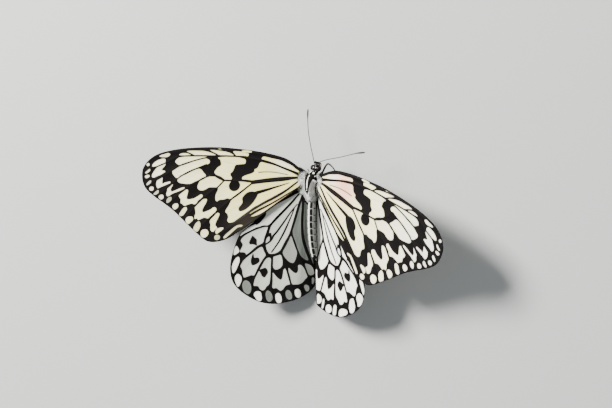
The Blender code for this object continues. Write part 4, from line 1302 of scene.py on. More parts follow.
    def values_at(self, flat: np.ndarray, middle: np.ndarray, distance: np.ndarray) -> Values:
        """What the finish and the hairs read, for each point of the plane.

        Args:
            flat: The flat points.
            middle: Height of the sheet's middle.
            distance: Distance to the wing's edge.

        Returns:
            Attribute name to the values.
        """
        drawing = self.slant.to_drawing(flat)
        ink, tone = self.marks(drawing, distance)
        # The tone is painted light and shade: each wing's own level, with lighter and darker marks in it
        values = {"ink": ink, "tone": tone * self.levels.get("tone", 1.0)}
        for key in ("warmth", "blush", "fade"):
            values[key] = np.full(len(flat), self.levels.get(key, 0.0))
        for glow in self.glows:
            lit = glow.amount * bell(np.linalg.norm(drawing - glow.centre, axis=1), 0.0, glow.radius)
            values[glow.value] = np.clip(values[glow.value] + lit, 0, 1)
        root = np.linalg.norm(flat, axis=1)
        values["fluff"] = 0.05 * (distance < self.fringe) * (root > 6) + 0.8 * (1 - ramp(root, 1.2, 3.8))
        values["reach"] = np.where(root > 6, 0.5, 1.0 - 0.4 * ramp(root, 2.0, 5.0))
        dark_hair = np.where(root < 3.0, 0.85 - 0.6 * ramp(root, 2.0, 3.0), 0.1)
        values["hair_tone"] = np.where(ink > 0, dark_hair, 0.9)
        away = self.hold.carry(flat * (1 + 0.02), middle) - self.hold.carry(flat, middle)
        away /= np.maximum(np.linalg.norm(away, axis=1), 1e-9)[:, None]
        values["comb"] = away @ turn("x", STANCE.pitch).T
        folds = np.degrees(np.arctan2(flat[:, 1], flat[:, 0] + 3)) * 0.8
        values["grain"] = flat_plan(np.column_stack([folds, root / 9]))
        return values

    def build(self, finish: Material, slot: str, skin: "Skin") -> Object:
        """Builds the wing as one closed sheet.

        Args:
            finish: The wings' material.
            slot: The record's material slot.
            skin: The body, whose abdomen the wing lies against and not inside.

        Returns:
            The new piece, with what its hairs need stored on it.
        """
        flat, triangles, closed = self.plan()
        middle, half, distance = self.relief(flat, closed)
        sheets = [skin.push_out(self.hold.carry(flat, middle + lift)) for lift in (half, -half)]
        count = len(flat)
        partner = np.where(distance < 1e-6, np.arange(count), np.arange(count) + count)
        faces = []
        for a, b, c in triangles:
            pair = (a, b, c), (int(partner[c]), int(partner[b]), int(partner[a]))
            faces += [face[::-1] for face in pair] if self.hold.side < 0 else pair
        values = self.values_at(flat, middle, distance)
        values = {key: np.concatenate([data, data]) for key, data in values.items()}
        plan = (flat + self.plan_corner) / self.plan_size
        plan = np.vstack([plan, plan + (0.0, 0.5)])
        values["root_plan"] = flat_plan(plan)
        piece = make_object(self.name + "_sheet", STANCE.body_to_row(np.vstack(sheets)), faces, values)
        add_plan(piece.data, plan, "WingPlan")
        clean(piece)
        settle(piece, finish, slot, (self.name,))
        return piece


# Body
BODY_SECTIONS = [
    # x, y, z, half width, half height, from the face to the tip of the abdomen
    (1.60, 8.78, 0.05, 0.10, 0.12), (1.60, 8.60, 0.08, 0.62, 0.70), (1.60, 8.20, 0.10, 1.08, 1.18),
    (1.60, 7.50, 0.10, 1.42, 1.52), (1.60, 6.80, 0.10, 1.45, 1.55), (1.57, 6.20, 0.08, 1.20, 1.32),
    (1.44, 5.75, 0.03, 0.98, 1.06), (1.26, 5.40, 0.00, 1.08, 1.18), (0.92, 4.90, 0.00, 1.58, 1.74),
    (0.66, 4.20, 0.00, 2.07, 2.40), (0.35, 3.20, 0.00, 2.38, 2.85), (0.05, 1.20, 0.00, 2.55, 3.08),
    (0.05, -1.00, 0.00, 2.45, 2.92), (0.55, -3.00, 0.00, 2.12, 2.50), (1.10, -4.60, 0.00, 1.70, 1.95),
    (1.44, -5.70, 0.02, 1.26, 1.38), (1.72, -7.20, 0.16, 1.52, 1.52), (2.05, -9.00, 0.35, 1.72, 1.72),
    (2.75, -14.0, 0.45, 1.80, 1.80), (3.60, -19.0, 0.35, 1.78, 1.78), (4.28, -22.6, 0.12, 1.60, 1.60),
    (4.80, -25.2, -0.15, 1.25, 1.25), (5.20, -27.0, -0.42, 0.78, 0.80), (5.42, -27.9, -0.58, 0.16, 0.16),
]
BODY_BUMPS = [
    # height, place and width along the body, angle from the back and its width in degrees
    (0.30, 3.2, 0.7, 60.0, 15.0), (0.26, 2.2, 1.2, 86.0, 16.0), (0.26, -1.6, 1.2, 112.0, 16.0),
    (0.22, -2.6, 0.5, 0.0, 30.0), (0.12, 4.75, 0.3, 35.0, 25.0), (-0.12, 7.9, 0.35, 0.0, 14.0),
    (0.18, 8.1, 0.22, 34.0, 12.0),
]
PALE_DOTS = [
    # place along the body, distance from the middle of the back along the skin, radius
    (5.55, 0.0, 0.4), (4.9, 1.6, 0.34), (7.7, 0.55, 0.2), (7.0, 1.25, 0.16), (6.4, 0.55, 0.12),
    (8.3, 0.3, 0.12), (7.0, 3.3, 0.35), (6.2, 2.6, 0.3), (3.6, 4.8, 0.6), (5.4, 2.9, 0.3), (4.6, 4.2, 0.4),
]


@dataclass
class Skin:
    """One skin over head, thorax and abdomen, with rings, sutures, wing sockets and markings."""

    sections: list[tuple[float, ...]]
    step: float = 0.1
    sides: int = 120
    waist: float = -5.75
    ring_front: float = -5.8
    ring_length: float = 2.47
    ring_groove: float = 0.11
    inset: float = 0.12 * 0.3
    wing_gap: float = 0.12

    def __post_init__(self) -> None:
        """Works out the fine middle line once."""
        self.line = smooth_curve(self.sections, self.step)

    def push_out(self, points: np.ndarray) -> np.ndarray:
        """Moves points of a wing out of the abdomen, so that the wing lies against it.

        Args:
            points: Places in the body's frame, in millimetres.

        Returns:
            The same, none closer to the abdomen's line than its skin.
        """
        moved = points.copy()
        axis = self.line[self.line[:, 1] < self.ring_front]
        near = np.flatnonzero((points[:, 1] < self.ring_front + 1) & (np.abs(points[:, 0] - 3.0) < 6))
        for i in near:
            middle = axis[int(np.argmin(np.abs(axis[:, 1] - points[i, 1])))]
            offset = points[i, [0, 2]] - middle[[0, 2]]
            wanted = middle[3] + self.wing_gap
            if float(np.linalg.norm(offset)) < wanted:
                offset[1] = min(offset[1], -0.2)
                moved[i, [0, 2]] = middle[[0, 2]] + offset / np.linalg.norm(offset) * wanted
        return moved

    def ring_part(self, y: np.ndarray) -> np.ndarray:
        """How far along its ring of the abdomen each place is, from 0 to 1."""
        return np.mod((self.ring_front - y) / self.ring_length, 1.0)

    def detail(self, y: np.ndarray, angle: np.ndarray) -> np.ndarray:
        """Small relief over the ovals, in millimetres.

        Args:
            y: Place along the body.
            angle: Degrees from the middle of the back, positive to the right.

        Returns:
            The height at each point.
        """
        side = np.abs(angle)
        part = self.ring_part(y)
        rings = ramp(-y, 5.9, 6.8) * (1 - ramp(-y, 26.6, 27.4))
        grooves = self.ring_groove * (bell(part, 0.0, 0.05) + bell(part, 1.0, 0.05))
        relief = rings * (0.07 * np.sin(np.pi * part) ** 0.7 - grooves)
        relief -= 0.08 * rings * bell(side, 104.0, 7.0)
        back = 1 - ramp(side, 70.0, 110.0)
        relief -= 0.10 * bell(y, -1.9, 0.28) * back + 0.10 * bell(y, -3.7, 0.25) + 0.12 * bell(y, 4.1, 0.25)
        relief -= 0.05 * bell(side, 0.0, 7.0) * ramp(y, -1.6, -0.6) * (1 - ramp(y, 3.6, 4.4))
        for height, place, length, at, width in BODY_BUMPS:
            relief += height * bell(y, place, length) * bell(side, at, width)
        return relief

    def markings(self, y: np.ndarray, angle: np.ndarray, arc: np.ndarray) -> tuple[np.ndarray, np.ndarray]:
        """Black and pale of the skin.

        Args:
            y: Place along the body.
            angle: Degrees from the middle of the back.
            arc: The same as a length along the skin, in millimetres.

        Returns:
            The signed distance of the black, and the tone of what is pale.
        """
        thorax = y > self.waist
        part = self.ring_part(y)
        ink = np.where(thorax, self.thorax_black(y, arc), 1.0)
        for place, from_middle, radius in PALE_DOTS:
            ink = np.minimum(ink, np.hypot(y - place, np.abs(arc) - from_middle) - radius)
        ink = np.where(thorax, ink, self.abdomen_black(y, arc, part))
        front_tone = np.where(np.abs(arc) < 0.6, 0.95, 0.2)
        # Painted light and shade: the abdomen is grey but for a pale strip left of the back line, painted on
        # the lit left side only, the shaded right side staying grey
        tone = np.where(thorax, front_tone, 0.05 + 0.95 * bell(arc, -0.56, 0.33))
        tone = np.where((y > 3.0) & thorax, 0.95, tone)
        tone = np.where(thorax & (np.abs(arc) > 4.2), 0.7, tone)
        tone = tone + 0.3 * ramp(np.abs(angle), 120.0, 160.0)
        tone = tone + np.where(thorax, 0.0, 0.12 * bell(part, 0.0, 0.1))
        return np.clip(ink, -1, 1), np.clip(tone, 0, 1)

    @staticmethod
    def thorax_black(y: np.ndarray, arc: np.ndarray) -> np.ndarray:
        """The black of the head and thorax: a saddle with a pale stripe in it, the face and stripes below.

        Args:
            y: Place along the body.
            arc: Distance from the middle of the back along the skin, positive to the right.

        Returns:
            Its signed distance.
        """
        out = np.abs(arc)
        reach = np.interp(y, (-2.7, -1.5, 0.6, 2.8, 4.2, 5.0), (0.25, 0.8, 1.2, 1.55, 2.0, 4.0))
        reach += np.where(arc < 0, 0.9 * ramp(y, 0.0, 3.4), 0.0)
        saddle = np.minimum(reach - out, y + 2.7)
        front = y - 4.0 + 0.2 * out
        under = np.maximum(0.38 - np.abs(out - 3.75), 0.6 - np.abs(out - 5.9))
        under = np.minimum(under, np.minimum(y + 4.6, 4.6 - y))
        dark = np.maximum(np.maximum(saddle, front), under)
        dark = np.maximum(dark, np.minimum(0.5 - out, 0.5 - np.abs(y + 5.15)))
        beyond = np.maximum(np.maximum(y - 4.3, -0.4 - y), 0.0)
        middle = arc + 0.16 * np.maximum(y - 0.5, 0.0)
        stripe = 0.25 * (0.85 + 0.25 * np.sin(1.3 * y)) - np.hypot(middle, beyond)
        return np.minimum(dark, -np.maximum(stripe, 0.2 - np.hypot(arc, y + 1.2)))

    def abdomen_black(self, y: np.ndarray, arc: np.ndarray, part: np.ndarray) -> np.ndarray:
        """The black of the abdomen: a broken line along the back, dark seams and lines below.

        Args:
            y: Place along the body.
            arc: Distance from the middle of the back along the skin, positive to the right.
            part: How far along its ring each place is.

        Returns:
            Its signed distance.
        """
        seam = np.minimum(part, 1 - part) * self.ring_length
        line = np.minimum(0.52 - np.abs(arc - 0.44), seam - 0.13)
        sides = np.minimum(0.17 - seam, np.abs(arc - 0.1) - 1.3)
        belly = np.minimum(0.35 - np.abs(np.abs(arc) - 2.75), seam - 0.3)
        return np.maximum(np.maximum(line, sides), np.maximum(belly, -26.5 - y))

    def coat_values(self, y: np.ndarray, angle: np.ndarray, ink: np.ndarray, tone: np.ndarray) -> Values:
        """What the hairs read: how dense, how long, which way and how pale.

        Args:
            y: Place along the body.
            angle: Degrees from the middle of the back.
            ink: Signed distance of the black.
            tone: Tone of what is pale.

        Returns:
            Attribute name to the values for each point, with ink and tone.
        """
        thorax = ramp(y, -5.9, -4.9) * (1 - ramp(y, 3.6, 4.8))
        head = ramp(y, 5.7, 6.2)
        abdomen = 1 - ramp(y, -6.4, -5.6)
        woolly = np.maximum(ramp(np.abs(angle), 38.0, 62.0), 1 - ramp(y, -3.4, -2.2))
        collar = bell(y, 5.4, 0.5)
        pale_dot = (ink < 0.05) & (y > 4.3)
        fluff = thorax * (0.2 + 0.8 * woolly) + 0.5 * head * (1 - ramp(y, 8.1, 8.6)) + 0.5 * abdomen
        fluff = fluff + 0.3 * collar + 0.5 * pale_dot
        reach = thorax * (0.3 + 0.6 * woolly) + 0.3 * head + abdomen * 0.18 + 0.35 * collar
        # The abdomen's hairs follow the skin's tone, and so its painted light and shade
        pale_hair = np.where(abdomen > 0.5, 0.15 + 0.85 * tone, 0.6 + 0.4 * tone)
        hair_tone = np.where(ink < 0, pale_hair, np.where(y > 3.0, -0.1, 0.05))
        comb = np.column_stack([0.15 * np.sin(np.radians(angle)), -np.ones_like(y), -0.1 * np.ones_like(y)])
        comb[:, 1] = np.where(y > 5.6, 0.6, comb[:, 1])
        shown = {"ink": ink, "tone": tone, "fluff": fluff, "reach": np.maximum(reach, 0.2)}
        return {**shown, "comb": comb, "hair_tone": hair_tone}

    def build(self, finish: Material, slot: str, nodes: tuple[str, ...]) -> Object:
        """Builds the skin as one closed surface.

        Args:
            finish: The skin's material.
            slot: The record's material slot.
            nodes: The solids that it stands for.

        Returns:
            The new piece, with what its hairs need stored on it.
        """
        line, count, sides = self.line, len(self.line), self.sides
        degrees = (np.arange(sides) + 0.5) * 360.0 / sides - 180.0
        radians = np.radians(degrees)
        verts, along, arc = [], [], []
        for centre, ahead in zip(line, directions(line[:, :3])):
            across = np.cross(ahead, (0.0, 0.0, -1.0))
            across /= np.linalg.norm(across)
            across *= np.sign(across[0])
            up = np.cross(across, ahead)
            up *= np.sign(up[2])
            y = np.full(sides, centre[1])
            lift = self.detail(y, degrees) * min(1.0, centre[3] / 0.8)
            wide = (centre[3] - self.inset + lift) * np.sin(radians)
            high = (centre[4] - self.inset + lift) * np.cos(radians)
            verts.append(centre[:3] + wide[:, None] * across + high[:, None] * up)
            along.append(y)
            arc.append(radians * (centre[3] + centre[4]) / 2)
        verts = np.vstack([*verts, line[:1, :3] + (0, 0.06, 0), line[-1:, :3] - (0, 0.06, 0)])
        along = np.concatenate([*along, line[[0, -1], 1]])
        angle = np.append(np.tile(degrees, count), [0, 0])
        arc = np.append(np.concatenate(arc), [0, 0])
        values = self.coat_values(along, angle, *self.markings(along, angle, arc))
        ring_of = np.append(np.repeat(np.arange(count), sides), [0, count - 1])
        plan = np.column_stack([ring_of / count, (angle + 180.0) / 360.0])
        values["root_plan"] = flat_plan(plan * (0.97, 0.97) + 0.01)
        piece = make_object("body_skin", STANCE.body_to_row(verts), ring_faces(count, sides), values)
        add_plan(piece.data, plan, "SkinPlan")
        clean(piece)
        settle(piece, finish, slot, nodes)
        return piece


# Small parts of the head, and the legs
HEAD_CENTRE = np.array((1.6, 7.1, 0.1))


def on_head(points: Path, side: int) -> np.ndarray:
    """Points given from the middle of the head on the right side, carried to the body's frame."""
    return HEAD_CENTRE + np.array(points, float) * (side, 1.0, 1.0)


@dataclass
class Part:
    """A closed piece, named after the one solid that it stands for. Its side is -1, 0 or 1."""

    side: int
    ending = "piece"

    def shape(self) -> tuple[np.ndarray, Faces, Values]:
        """Its points in the row frame, its faces and what its finish and hairs read."""
        raise NotImplementedError

    def build(self, finish: Material, slot: str, node: str) -> Object:
        """Builds the piece.

        Args:
            finish: Its material.
            slot: The record's material slot.
            node: The solid that it stands for.

        Returns:
            The new piece.
        """
        piece = make_object(f"{node}_{self.ending}", *self.shape())
        clean(piece)
        settle(piece, finish, slot, (node,))
        return piece


@dataclass
class Eye(Part):
    """A compound eye, set in the side of the head."""

    ending = "globe"
    offset: tuple[float, float, float] = (1.30, 0.25, 0.10)
    half: tuple[float, float, float] = (0.85, 1.05, 1.15)
    swell: float = 0.05
    rings: int = 40
    sides: int = 56

    def shape(self) -> tuple[np.ndarray, Faces, Values]:
        """A smooth ovoid, a little flatter where it meets the head. See Part."""
        around = 2 * np.pi * np.arange(self.sides) / self.sides
        spots = [(0.0, 1.0, 0.0)]
        for p in np.pi * np.arange(1, self.rings) / self.rings:
            spots += [(math.sin(p) * math.cos(a), math.cos(p), math.sin(p) * math.sin(a)) for a in around]
        spots = np.array([*spots, (0.0, -1.0, 0.0)])
        swell = 1 + self.swell * np.clip(spots[:, 0] * self.side, 0, 1)
        verts = on_head([self.offset], self.side)[0] + spots * self.half * swell[:, None]
        faces = []
        base = 1 + (self.rings - 2) * self.sides
        for k in range(self.sides):
            follow = (k + 1) % self.sides
            faces += [(0, 1 + k, 1 + follow), (len(spots) - 1, base + follow, base + k)]
            for i in range(self.rings - 2):
                a, b = 1 + i * self.sides + k, 1 + i * self.sides + follow
                faces.append((a, a + self.sides, b + self.sides, b))
        return STANCE.body_to_row(verts), faces, {}


@dataclass
class Feeler(Part):
    """A slim ringed antenna that swells into a long club near its tip."""

    ending = "rings"
    path: Path
    radius: float = 0.15
    club: float = 0.33
    club_place: float = 0.93
    club_length: float = 0.085
    joint: float = 0.42
    sides: int = 14

    def shape(self) -> tuple[np.ndarray, Faces, Values]:
        """A tube with many short joints, a thick first one and a round tip. See Part."""
        line = smooth_curve(on_head(self.path, self.side), 0.07)
        length = lengths_along(line)
        share = length / length[-1]
        radii = self.radius + (self.club - self.radius) * bell(share, self.club_place, self.club_length)
        beat = np.mod(length / self.joint, 1.0)
        radii = radii * (0.93 + 0.13 * np.sin(np.pi * beat) ** 0.6)
        radii *= 1 + 0.9 * bell(length, 0.35, 0.3)
        radii *= np.sqrt(np.clip((1.0 - share) / 0.02, 0.05, 1.0))
        verts, faces, _ = tube(line, radii, self.sides)
        return STANCE.body_to_row(verts), faces, {}


@dataclass
class Palp(Part):
    """A short bristly palp that curves up in front of the face."""

    ending = "core"
    path: Path = (
        (0.50, 0.75, -1.05), (0.57, 1.45, -1.12), (0.60, 1.95, -0.95), (0.62, 2.45, -0.25), (0.60, 2.62, 0.5),
    )
    radii: tuple[float, ...] = (0.26, 0.36, 0.38, 0.28, 0.08)
    sides: int = 16

    def shape(self) -> tuple[np.ndarray, Faces, Values]:
        """A tube, dark in front and above, with what its bristles need. See Part."""
        line = smooth_curve([(*p, r) for p, r in zip(on_head(self.path, self.side), self.radii)], 0.06)
        verts, faces, plan = tube(line[:, :3], line[:, 3], self.sides)
        front = verts[:, 1] - round_tube(line[:, 1], self.sides)
        tone = np.where(front > 0.12, 0.1, 0.35)
        values = {
            "ink": np.where((front > 0.05) | (verts[:, 2] > -0.3), 1.0, -1.0),
            "tone": tone, "hair_tone": tone, "fluff": np.ones(len(verts)), "reach": np.full(len(verts), 0.6),
            "comb": round_tube(directions(line[:, :3]), self.sides), "root_plan": flat_plan(plan),
        }
        return STANCE.body_to_row(verts), faces, values


@dataclass
class Tongue(Part):
    """The coiled tongue under the head."""

    ending = "coil"
    centre: tuple[float, float, float] = (0.0, 0.55, -3.15)
    radii: tuple[float, float] = (1.5, 0.42)
    start: float = 100.0
    turns: float = 1.55
    tube_radius: float = 0.2
    joint: float = 0.14
    points: int = 360
    sides: int = 14

    def shape(self) -> tuple[np.ndarray, Faces, Values]:
        """A coil with fine rings along it. See Part."""
        share = np.linspace(0, 1, self.points)
        radius = self.radii[0] + (self.radii[1] - self.radii[0]) * share
        angle = math.radians(self.start) - 2 * math.pi * self.turns * share
        line = np.column_stack([np.zeros(self.points), radius * np.cos(angle), radius * np.sin(angle)])
        line = line + HEAD_CENTRE + self.centre
        ring = 0.94 + 0.08 * np.sin(2 * np.pi * lengths_along(line) / self.joint)
        verts, faces, _ = tube(line, self.tube_radius * ring * (1 - 0.45 * share), self.sides)
        return STANCE.body_to_row(verts), faces, {}


@dataclass
class Leg(Part):
    """A jointed leg: hip, thigh, shin, five foot joints and two claws."""

    ending = "joints"
    path: Path
    radii: tuple[float, ...]
    on_floor: bool = True
    foot_joint: float = 1.05
    claw_length: float = 0.55
    sides: int = 14

    def shape(self) -> tuple[np.ndarray, Faces, Values]:
        """A tube with knobs at the joints and a beaded foot, with what its bristles need. See Part."""
        given = [(self.side * x, y, z, r) for (x, y, z), r in zip(self.path, self.radii)]
        line = smooth_curve(given, 0.09)
        radii = line[:, 3].copy()
        length = lengths_along(line[:, :3])
        knots = [int(np.argmin(np.linalg.norm(line[:, :3] - np.array(g[:3]), axis=1))) for g in given]
        for knot in knots[1:-1]:
            radii *= 1 + 0.16 * bell(length, length[knot], 0.28)
        if self.on_floor:
            ankle = length[knots[4]]
            beat = np.mod((length - ankle) / self.foot_joint, 1.0)
            radii = np.where(length > ankle, radii * (0.86 + 0.3 * beat**2), radii)
            low = line[:, 2] < 1.0
            line[low, 2] = np.maximum(line[low, 2], radii[low])
        verts, faces, plan = tube(line[:, :3], radii, self.sides)
        pieces = [(verts, faces)] + (self.claws(line) if self.on_floor else [])
        verts, faces = self.joined(pieces)
        count, body = len(verts), self.sides * len(line)
        comb, fluff, full_plan = np.zeros((count, 3)), np.zeros(count), np.zeros((count, 3))
        comb[:body] = np.repeat(directions(line[:, :3]), self.sides, axis=0)
        fluff[:body] = np.repeat(ramp(length, length[knots[2]], length[knots[3]]), self.sides)
        full_plan[:len(plan), :2] = plan
        values = {"fluff": fluff, "reach": np.ones(count), "comb": comb, "root_plan": full_plan}
        values["hair_tone"] = np.full(count, 0.1)
        carry = STANCE.floor_to_row if self.on_floor else STANCE.body_to_row
        return carry(verts), faces, values

    def claws(self, line: np.ndarray) -> list[tuple[np.ndarray, Faces]]:
        """Two small hooked claws at the end of the foot.

        Args:
            line: The leg's middle line.

        Returns:
            The points and the faces of each.
        """
        tip, ahead = line[-1, :3], directions(line[:, :3])[-1]
        across = np.cross(ahead, (0, 0, 1.0))
        made = []
        for way in (-1, 1):
            bend = [
                tip - 0.1 * ahead, tip + 0.25 * ahead + 0.14 * way * across,
                tip + self.claw_length * ahead + 0.2 * way * across,
            ]
            path = smooth_curve([(*p[:2], height) for p, height in zip(bend, (0.14, 0.16, 0.045))], 0.05)
            made.append(tube(path, np.linspace(0.075, 0.02, len(path)), 8)[:2])
        return made

    @staticmethod
    def joined(pieces: list[tuple[np.ndarray, Faces]]) -> tuple[np.ndarray, Faces]:
        """Several meshes as one.

        Args:
            pieces: Points and faces of each.

        Returns:
            All points and all faces.
        """
        faces, start = [], 0
        for verts, shown in pieces:
            faces += [tuple(start + i for i in face) for face in shown]
            start += len(verts)
        return np.vstack([verts for verts, _ in pieces]), faces


FEELER_PATHS = {
    "left": (
        (0.15, 1.0, 0.75), (0.20, 1.25, 0.95), (0.75, 4.20, 1.75), (2.30, 9.10, 2.30), (4.20, 14.60, 1.80),
        (5.80, 19.70, 0.40), (6.40, 21.90, -0.50),
    ),
    "right": (
        (0.45, 1.0, 0.75), (0.55, 1.25, 0.95), (1.85, 2.95, 1.60), (5.20, 4.70, 2.20), (10.55, 6.65, 2.35),
        (14.40, 8.25, 1.90), (16.90, 9.25, 1.30), (19.90, 10.00, 0.50),
    ),
}
FOOT = 0.17
HIND_LEG_PATH = (
    (0.7, -1.6, 10.4), (0.75, -1.9, 8.9), (2.1, -3.2, 7.7), (6.4, -7.8, 8.2), (9.4, -15.6, FOOT),
    (10.4, -18.8, FOOT), (11.1, -21.4, FOOT),
)
LEG_PATHS = {
    "midleg_left": (
        (0.9, 2.2, 10.4), (1.2, 2.4, 9.0), (2.6, 3.2, 8.6), (7.0, 5.6, 9.6), (8.0, 2.8, FOOT),
        (8.6, 0.6, FOOT), (9.0, -1.2, FOOT),
    ),
    "midleg_right": (
        (0.9, 2.2, 10.4), (1.2, 3.0, 8.8), (2.1, 5.0, 8.3), (5.0, 9.4, 10.3), (3.8, 5.6, FOOT),
        (4.5, 3.4, FOOT), (5.2, 1.6, FOOT),
    ),
    "hindleg_left": HIND_LEG_PATH,
    "hindleg_right": HIND_LEG_PATH,
}
LEG_RADII = (0.42, 0.44, 0.42, 0.28, 0.18, 0.17, 0.14)
FORE_LEG_PATH = ((1.0, 3.7, -1.0), (1.2, 4.0, -1.3), (1.9, 4.6, -2.2), (2.6, 5.2, -2.5), (3.0, 5.9, -2.1))
FORE_LEG_RADII = (0.34, 0.34, 0.32, 0.26, 0.14)


# Studio
@dataclass(frozen=True)
class Lamp:
    """A square soft light that faces the butterfly: its place and side in metres, its power in watts."""

    name: str
    away: tuple[float, float, float]
    size: float
    power: float
    colour: Colour

    def add(self) -> None:
        """Adds the light to the scene."""
        data = bpy.data.lights.new(self.name, "AREA")
        data.size, data.energy, data.color = self.size, self.power, self.colour
        light = linked(self.name, data)
        light.location = self.away
        light.rotation_euler = Vector(self.away).to_track_quat("Z", "Y").to_euler()


@dataclass(frozen=True)
class Studio:
    """Pale floor, soft lights and the photograph's camera, in degrees, millimetres and pixels."""

    roll: float = 26.0
    pitch: float = 11.5
    yaw: float = -6.5
    shift: tuple[float, float] = (1.6, 6.8)
    distance: float = 960.0
    mm_per_pixel: float = 0.38
    photo_width: int = 612
    sensor: float = 36.0
    floor_half: float = 3.0
    sky: tuple[float, ...] = (0.93, 0.96, 1.0, 1.0)
    sky_strength: float = 0.42
    lamps: tuple[Lamp, ...] = (
        Lamp("key_light", (-0.5, 0.35, 0.7), 0.3, 42.0, (1.0, 0.98, 0.94)),
        Lamp("fill_light", (0.6, -0.2, 0.6), 0.6, 2.0, (0.92, 0.96, 1.0)),
        Lamp("rim_light", (0.1, 0.9, 0.35), 0.4, 2.0, (1.0, 1.0, 1.0)),
    )

    def add_camera(self) -> None:
        """Adds the camera with the photograph's attitude and framing."""
        view = turn("z", self.yaw) @ turn("x", self.pitch) @ turn("y", -self.roll)
        place = view.T @ np.array((-self.shift[0], -self.shift[1], self.distance))
        data = bpy.data.cameras.new("photo_camera")
        data.sensor_width = self.sensor
        data.lens = self.sensor * self.distance / (self.photo_width * self.mm_per_pixel)
        data.clip_start = 0.02
        camera = linked("photo_camera", data)
        matrix = Matrix((turn("x", STANCE.pitch) @ view.T).tolist()).to_4x4()
        matrix.translation = Vector(STANCE.body_to_row(place[None, :])[0])
        camera.matrix_world = matrix
        bpy.context.scene.camera = camera
        LOG.info("studio: camera lens %.1f mm", data.lens)

    def build(self) -> None:
        """Builds floor, world, lights and camera."""
        corners = [(-1, -1, 0), (1, -1, 0), (1, 1, 0), (-1, 1, 0)]
        floor = make_object("floor", np.array(corners, float) * self.floor_half, [(0, 1, 2, 3)])
        floor.data.materials.append(FloorFinish("studio_floor", roughness=0.9, specular=0.2).material())
        world = bpy.data.worlds.new("studio")
        world.use_nodes = True
        background = world.node_tree.nodes["Background"].inputs
        background["Color"].default_value = self.sky
        background["Strength"].default_value = self.sky_strength
        bpy.context.scene.world = world
        for lamp in self.lamps:
            lamp.add()
        self.add_camera()


# Putting it together
def make_wings() -> list[Wing]:
    """The four wings with their marks and tints.

    Returns:
        The wings, not yet built.
    """
    fore = {
        "slant": Slant((1.0, -0.142), (0.0, 0.98), (-0.4, 0.5)), "edge": FORE_EDGE, "veins": FORE_VEINS,
        "windows": FORE_WINDOWS, "spots": FORE_SPOTS, "strokes": FORE_STROKES, "dots": FORE_DOTS,
    }
    hind = {
        "slant": Slant((1.035, 0.011), (-0.09, 0.889), (-0.3, -0.3)), "veins": HIND_VEINS,
        "windows": HIND_WINDOWS, "spots": HIND_SPOTS, "strokes": HIND_STROKES, "spot_spread": 0.12,
    }
    fore_root, fore_bends, hind_bends = (2.7, 2.4, 0.1), (-0.0014, 0.0014), (0.0, -0.0006)
    warm = [
        Glow("warmth", (12.0, -2.0), 20.0, 0.4), Glow("warmth", (60.0, -2.0), 12.0, -0.25),
        Glow("warmth", (9.0, 5.8), 4.5, -0.6),
    ]
    # Painted sheen: a warm dark grey highlight on the black inner band of the left forewing
    sheen_glows = [Glow("fade", (22.0, -16.5), 5.0, 0.7), Glow("fade", (15.0, -12.5), 4.0, 0.4)]
    return [
        Wing(
            "forewing_left", WingHold(-1, fore_root, 16.0, -8.3, -1.5, fore_bends),
            # Painted shade: the left forewing's lower tone and its greyer dots
            levels={"warmth": 0.66, "tone": 0.86}, dot_shading=FORE_DOT_SHADING,
            # Painted light: a faint pink reflection, and a warm dark grey sheen on the black band
            glows=[*warm, *sheen_glows, Glow("blush", (10.0, -9.0), 5.0, 0.3)], **fore,
        ),
        Wing(
            "forewing_right", WingHold(1, fore_root, 17.0, -13.0, -2.7, fore_bends),
            # Painted reflection: pink light over the cell
            levels={"warmth": 0.42}, glows=[*warm, Glow("blush", (14.5, 3.5), 6.0, 1.0)], **fore,
        ),
        Wing(
            "hindwing_left", WingHold(-1, (2.9, -1.4, -1.45), 18.5, -26.0, 1.8, hind_bends, fold=20.0),
            # Painted light and shade: the left hindwing's low tone, and lighter and darker panes and dots
            edge=HIND_FRONT_OUTER + HIND_INNER_WIDE, levels={"warmth": 0.14, "tone": 0.47},
            dots=HIND_DOTS_LEFT, dot_shading=HIND_DOT_SHADING, window_shading=HIND_WINDOW_SHADING, **hind,
        ),
        Wing(
            "hindwing_right", WingHold(1, (2.1, -1.7, -1.45), 18.5, -18.4, 3.2, hind_bends, fold=48.0),
            edge=HIND_FRONT_OUTER + HIND_INNER_NARROW, levels={"warmth": 0.1}, dots=HIND_DOTS_RIGHT, **hind,
        ),
    ]


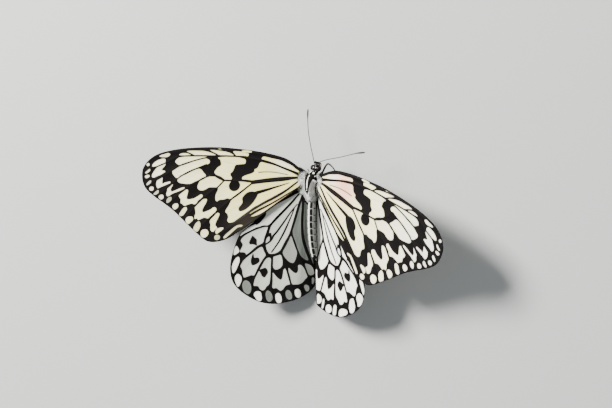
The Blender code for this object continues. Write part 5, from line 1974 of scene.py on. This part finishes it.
def make_side(tree: NodeTree, finishes: dict[str, Material], name: str, side: int) -> None:
    """Builds eye, feeler, palp and legs of one side, with their bristles.

    Args:
        tree: The tree that plants hairs.
        finishes: The materials by name.
        name: "left" or "right".
        side: -1 or 1.
    """
    hair = finishes["hair"]
    Eye(side).build(finishes["eye"], "eye", "eye_" + name)
    Feeler(side, FEELER_PATHS[name]).build(finishes["shell"], "body_black", "antenna_" + name)
    palp = Palp(side).build(finishes["skin"], "body_black", "palp_" + name)
    PALP_HAIR.grow(tree, "palp_hair_" + name, palp, hair, "body_black")
    for node in ("midleg_" + name, "hindleg_" + name):
        leg = Leg(side, LEG_PATHS[node], LEG_RADII).build(finishes["shell"], "leg_black", node)
        LEG_BRISTLES.grow(tree, node + "_bristles", leg, hair, "leg_black")
    leg = Leg(side, FORE_LEG_PATH, FORE_LEG_RADII, on_floor=False)
    leg.build(finishes["white_shell"], "leg_white", "foreleg_" + name)


def main() -> None:
    """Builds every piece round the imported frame, then the studio."""
    logging.basicConfig(level=logging.INFO, format="%(name)s: %(message)s")
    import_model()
    make_ragged_edge()
    make_scale_rows()
    finishes = {
        "wing": WingFinish("wing_scales", specular=0.045),
        "skin": SkinFinish("body_scales", specular=0.06),
        "hair": HairFinish("body_hair", roughness=0.65, specular=0.08),
        "shell": ShellFinish("leg_shell", roughness=0.45, specular=0.35),
        "white_shell": ShellFinish("foreleg_scales", roughness=0.7, worn=Tint.WHITE, wear=0.8),
        "tongue": ShellFinish("tongue_shell", roughness=0.3, colour=Tint.AMBER, wear=0.05),
        "eye": EyeFinish("compound_eye", roughness=0.42, coat=0.04, specular=0.12),
    }
    finishes = {key: finish.material() for key, finish in finishes.items()}
    tree = HairTree().build()
    skin = Skin(BODY_SECTIONS)
    body = skin.build(finishes["skin"], "body_grey", ("thorax", "abdomen", "head"))
    for number in (1, 2, 3):
        coat = replace(BODY_HAIR, seed=BODY_HAIR.seed + number)
        coat.grow(tree, f"body_hair_{number}", body, finishes["hair"], "body_grey")
    for name, side in (("left", -1), ("right", 1)):
        make_side(tree, finishes, name, side)
    Tongue(0).build(finishes["tongue"], "body_black", "proboscis")
    for wing in make_wings():
        slot = "wing_cream" if wing.name.startswith("fore") else "wing_white"
        sheet = wing.build(finishes["wing"], slot, skin)
        WING_DOWN.grow(tree, wing.name + "_down", sheet, finishes["hair"], slot)
    Studio().build()


if __name__ == "__main__":
    main()
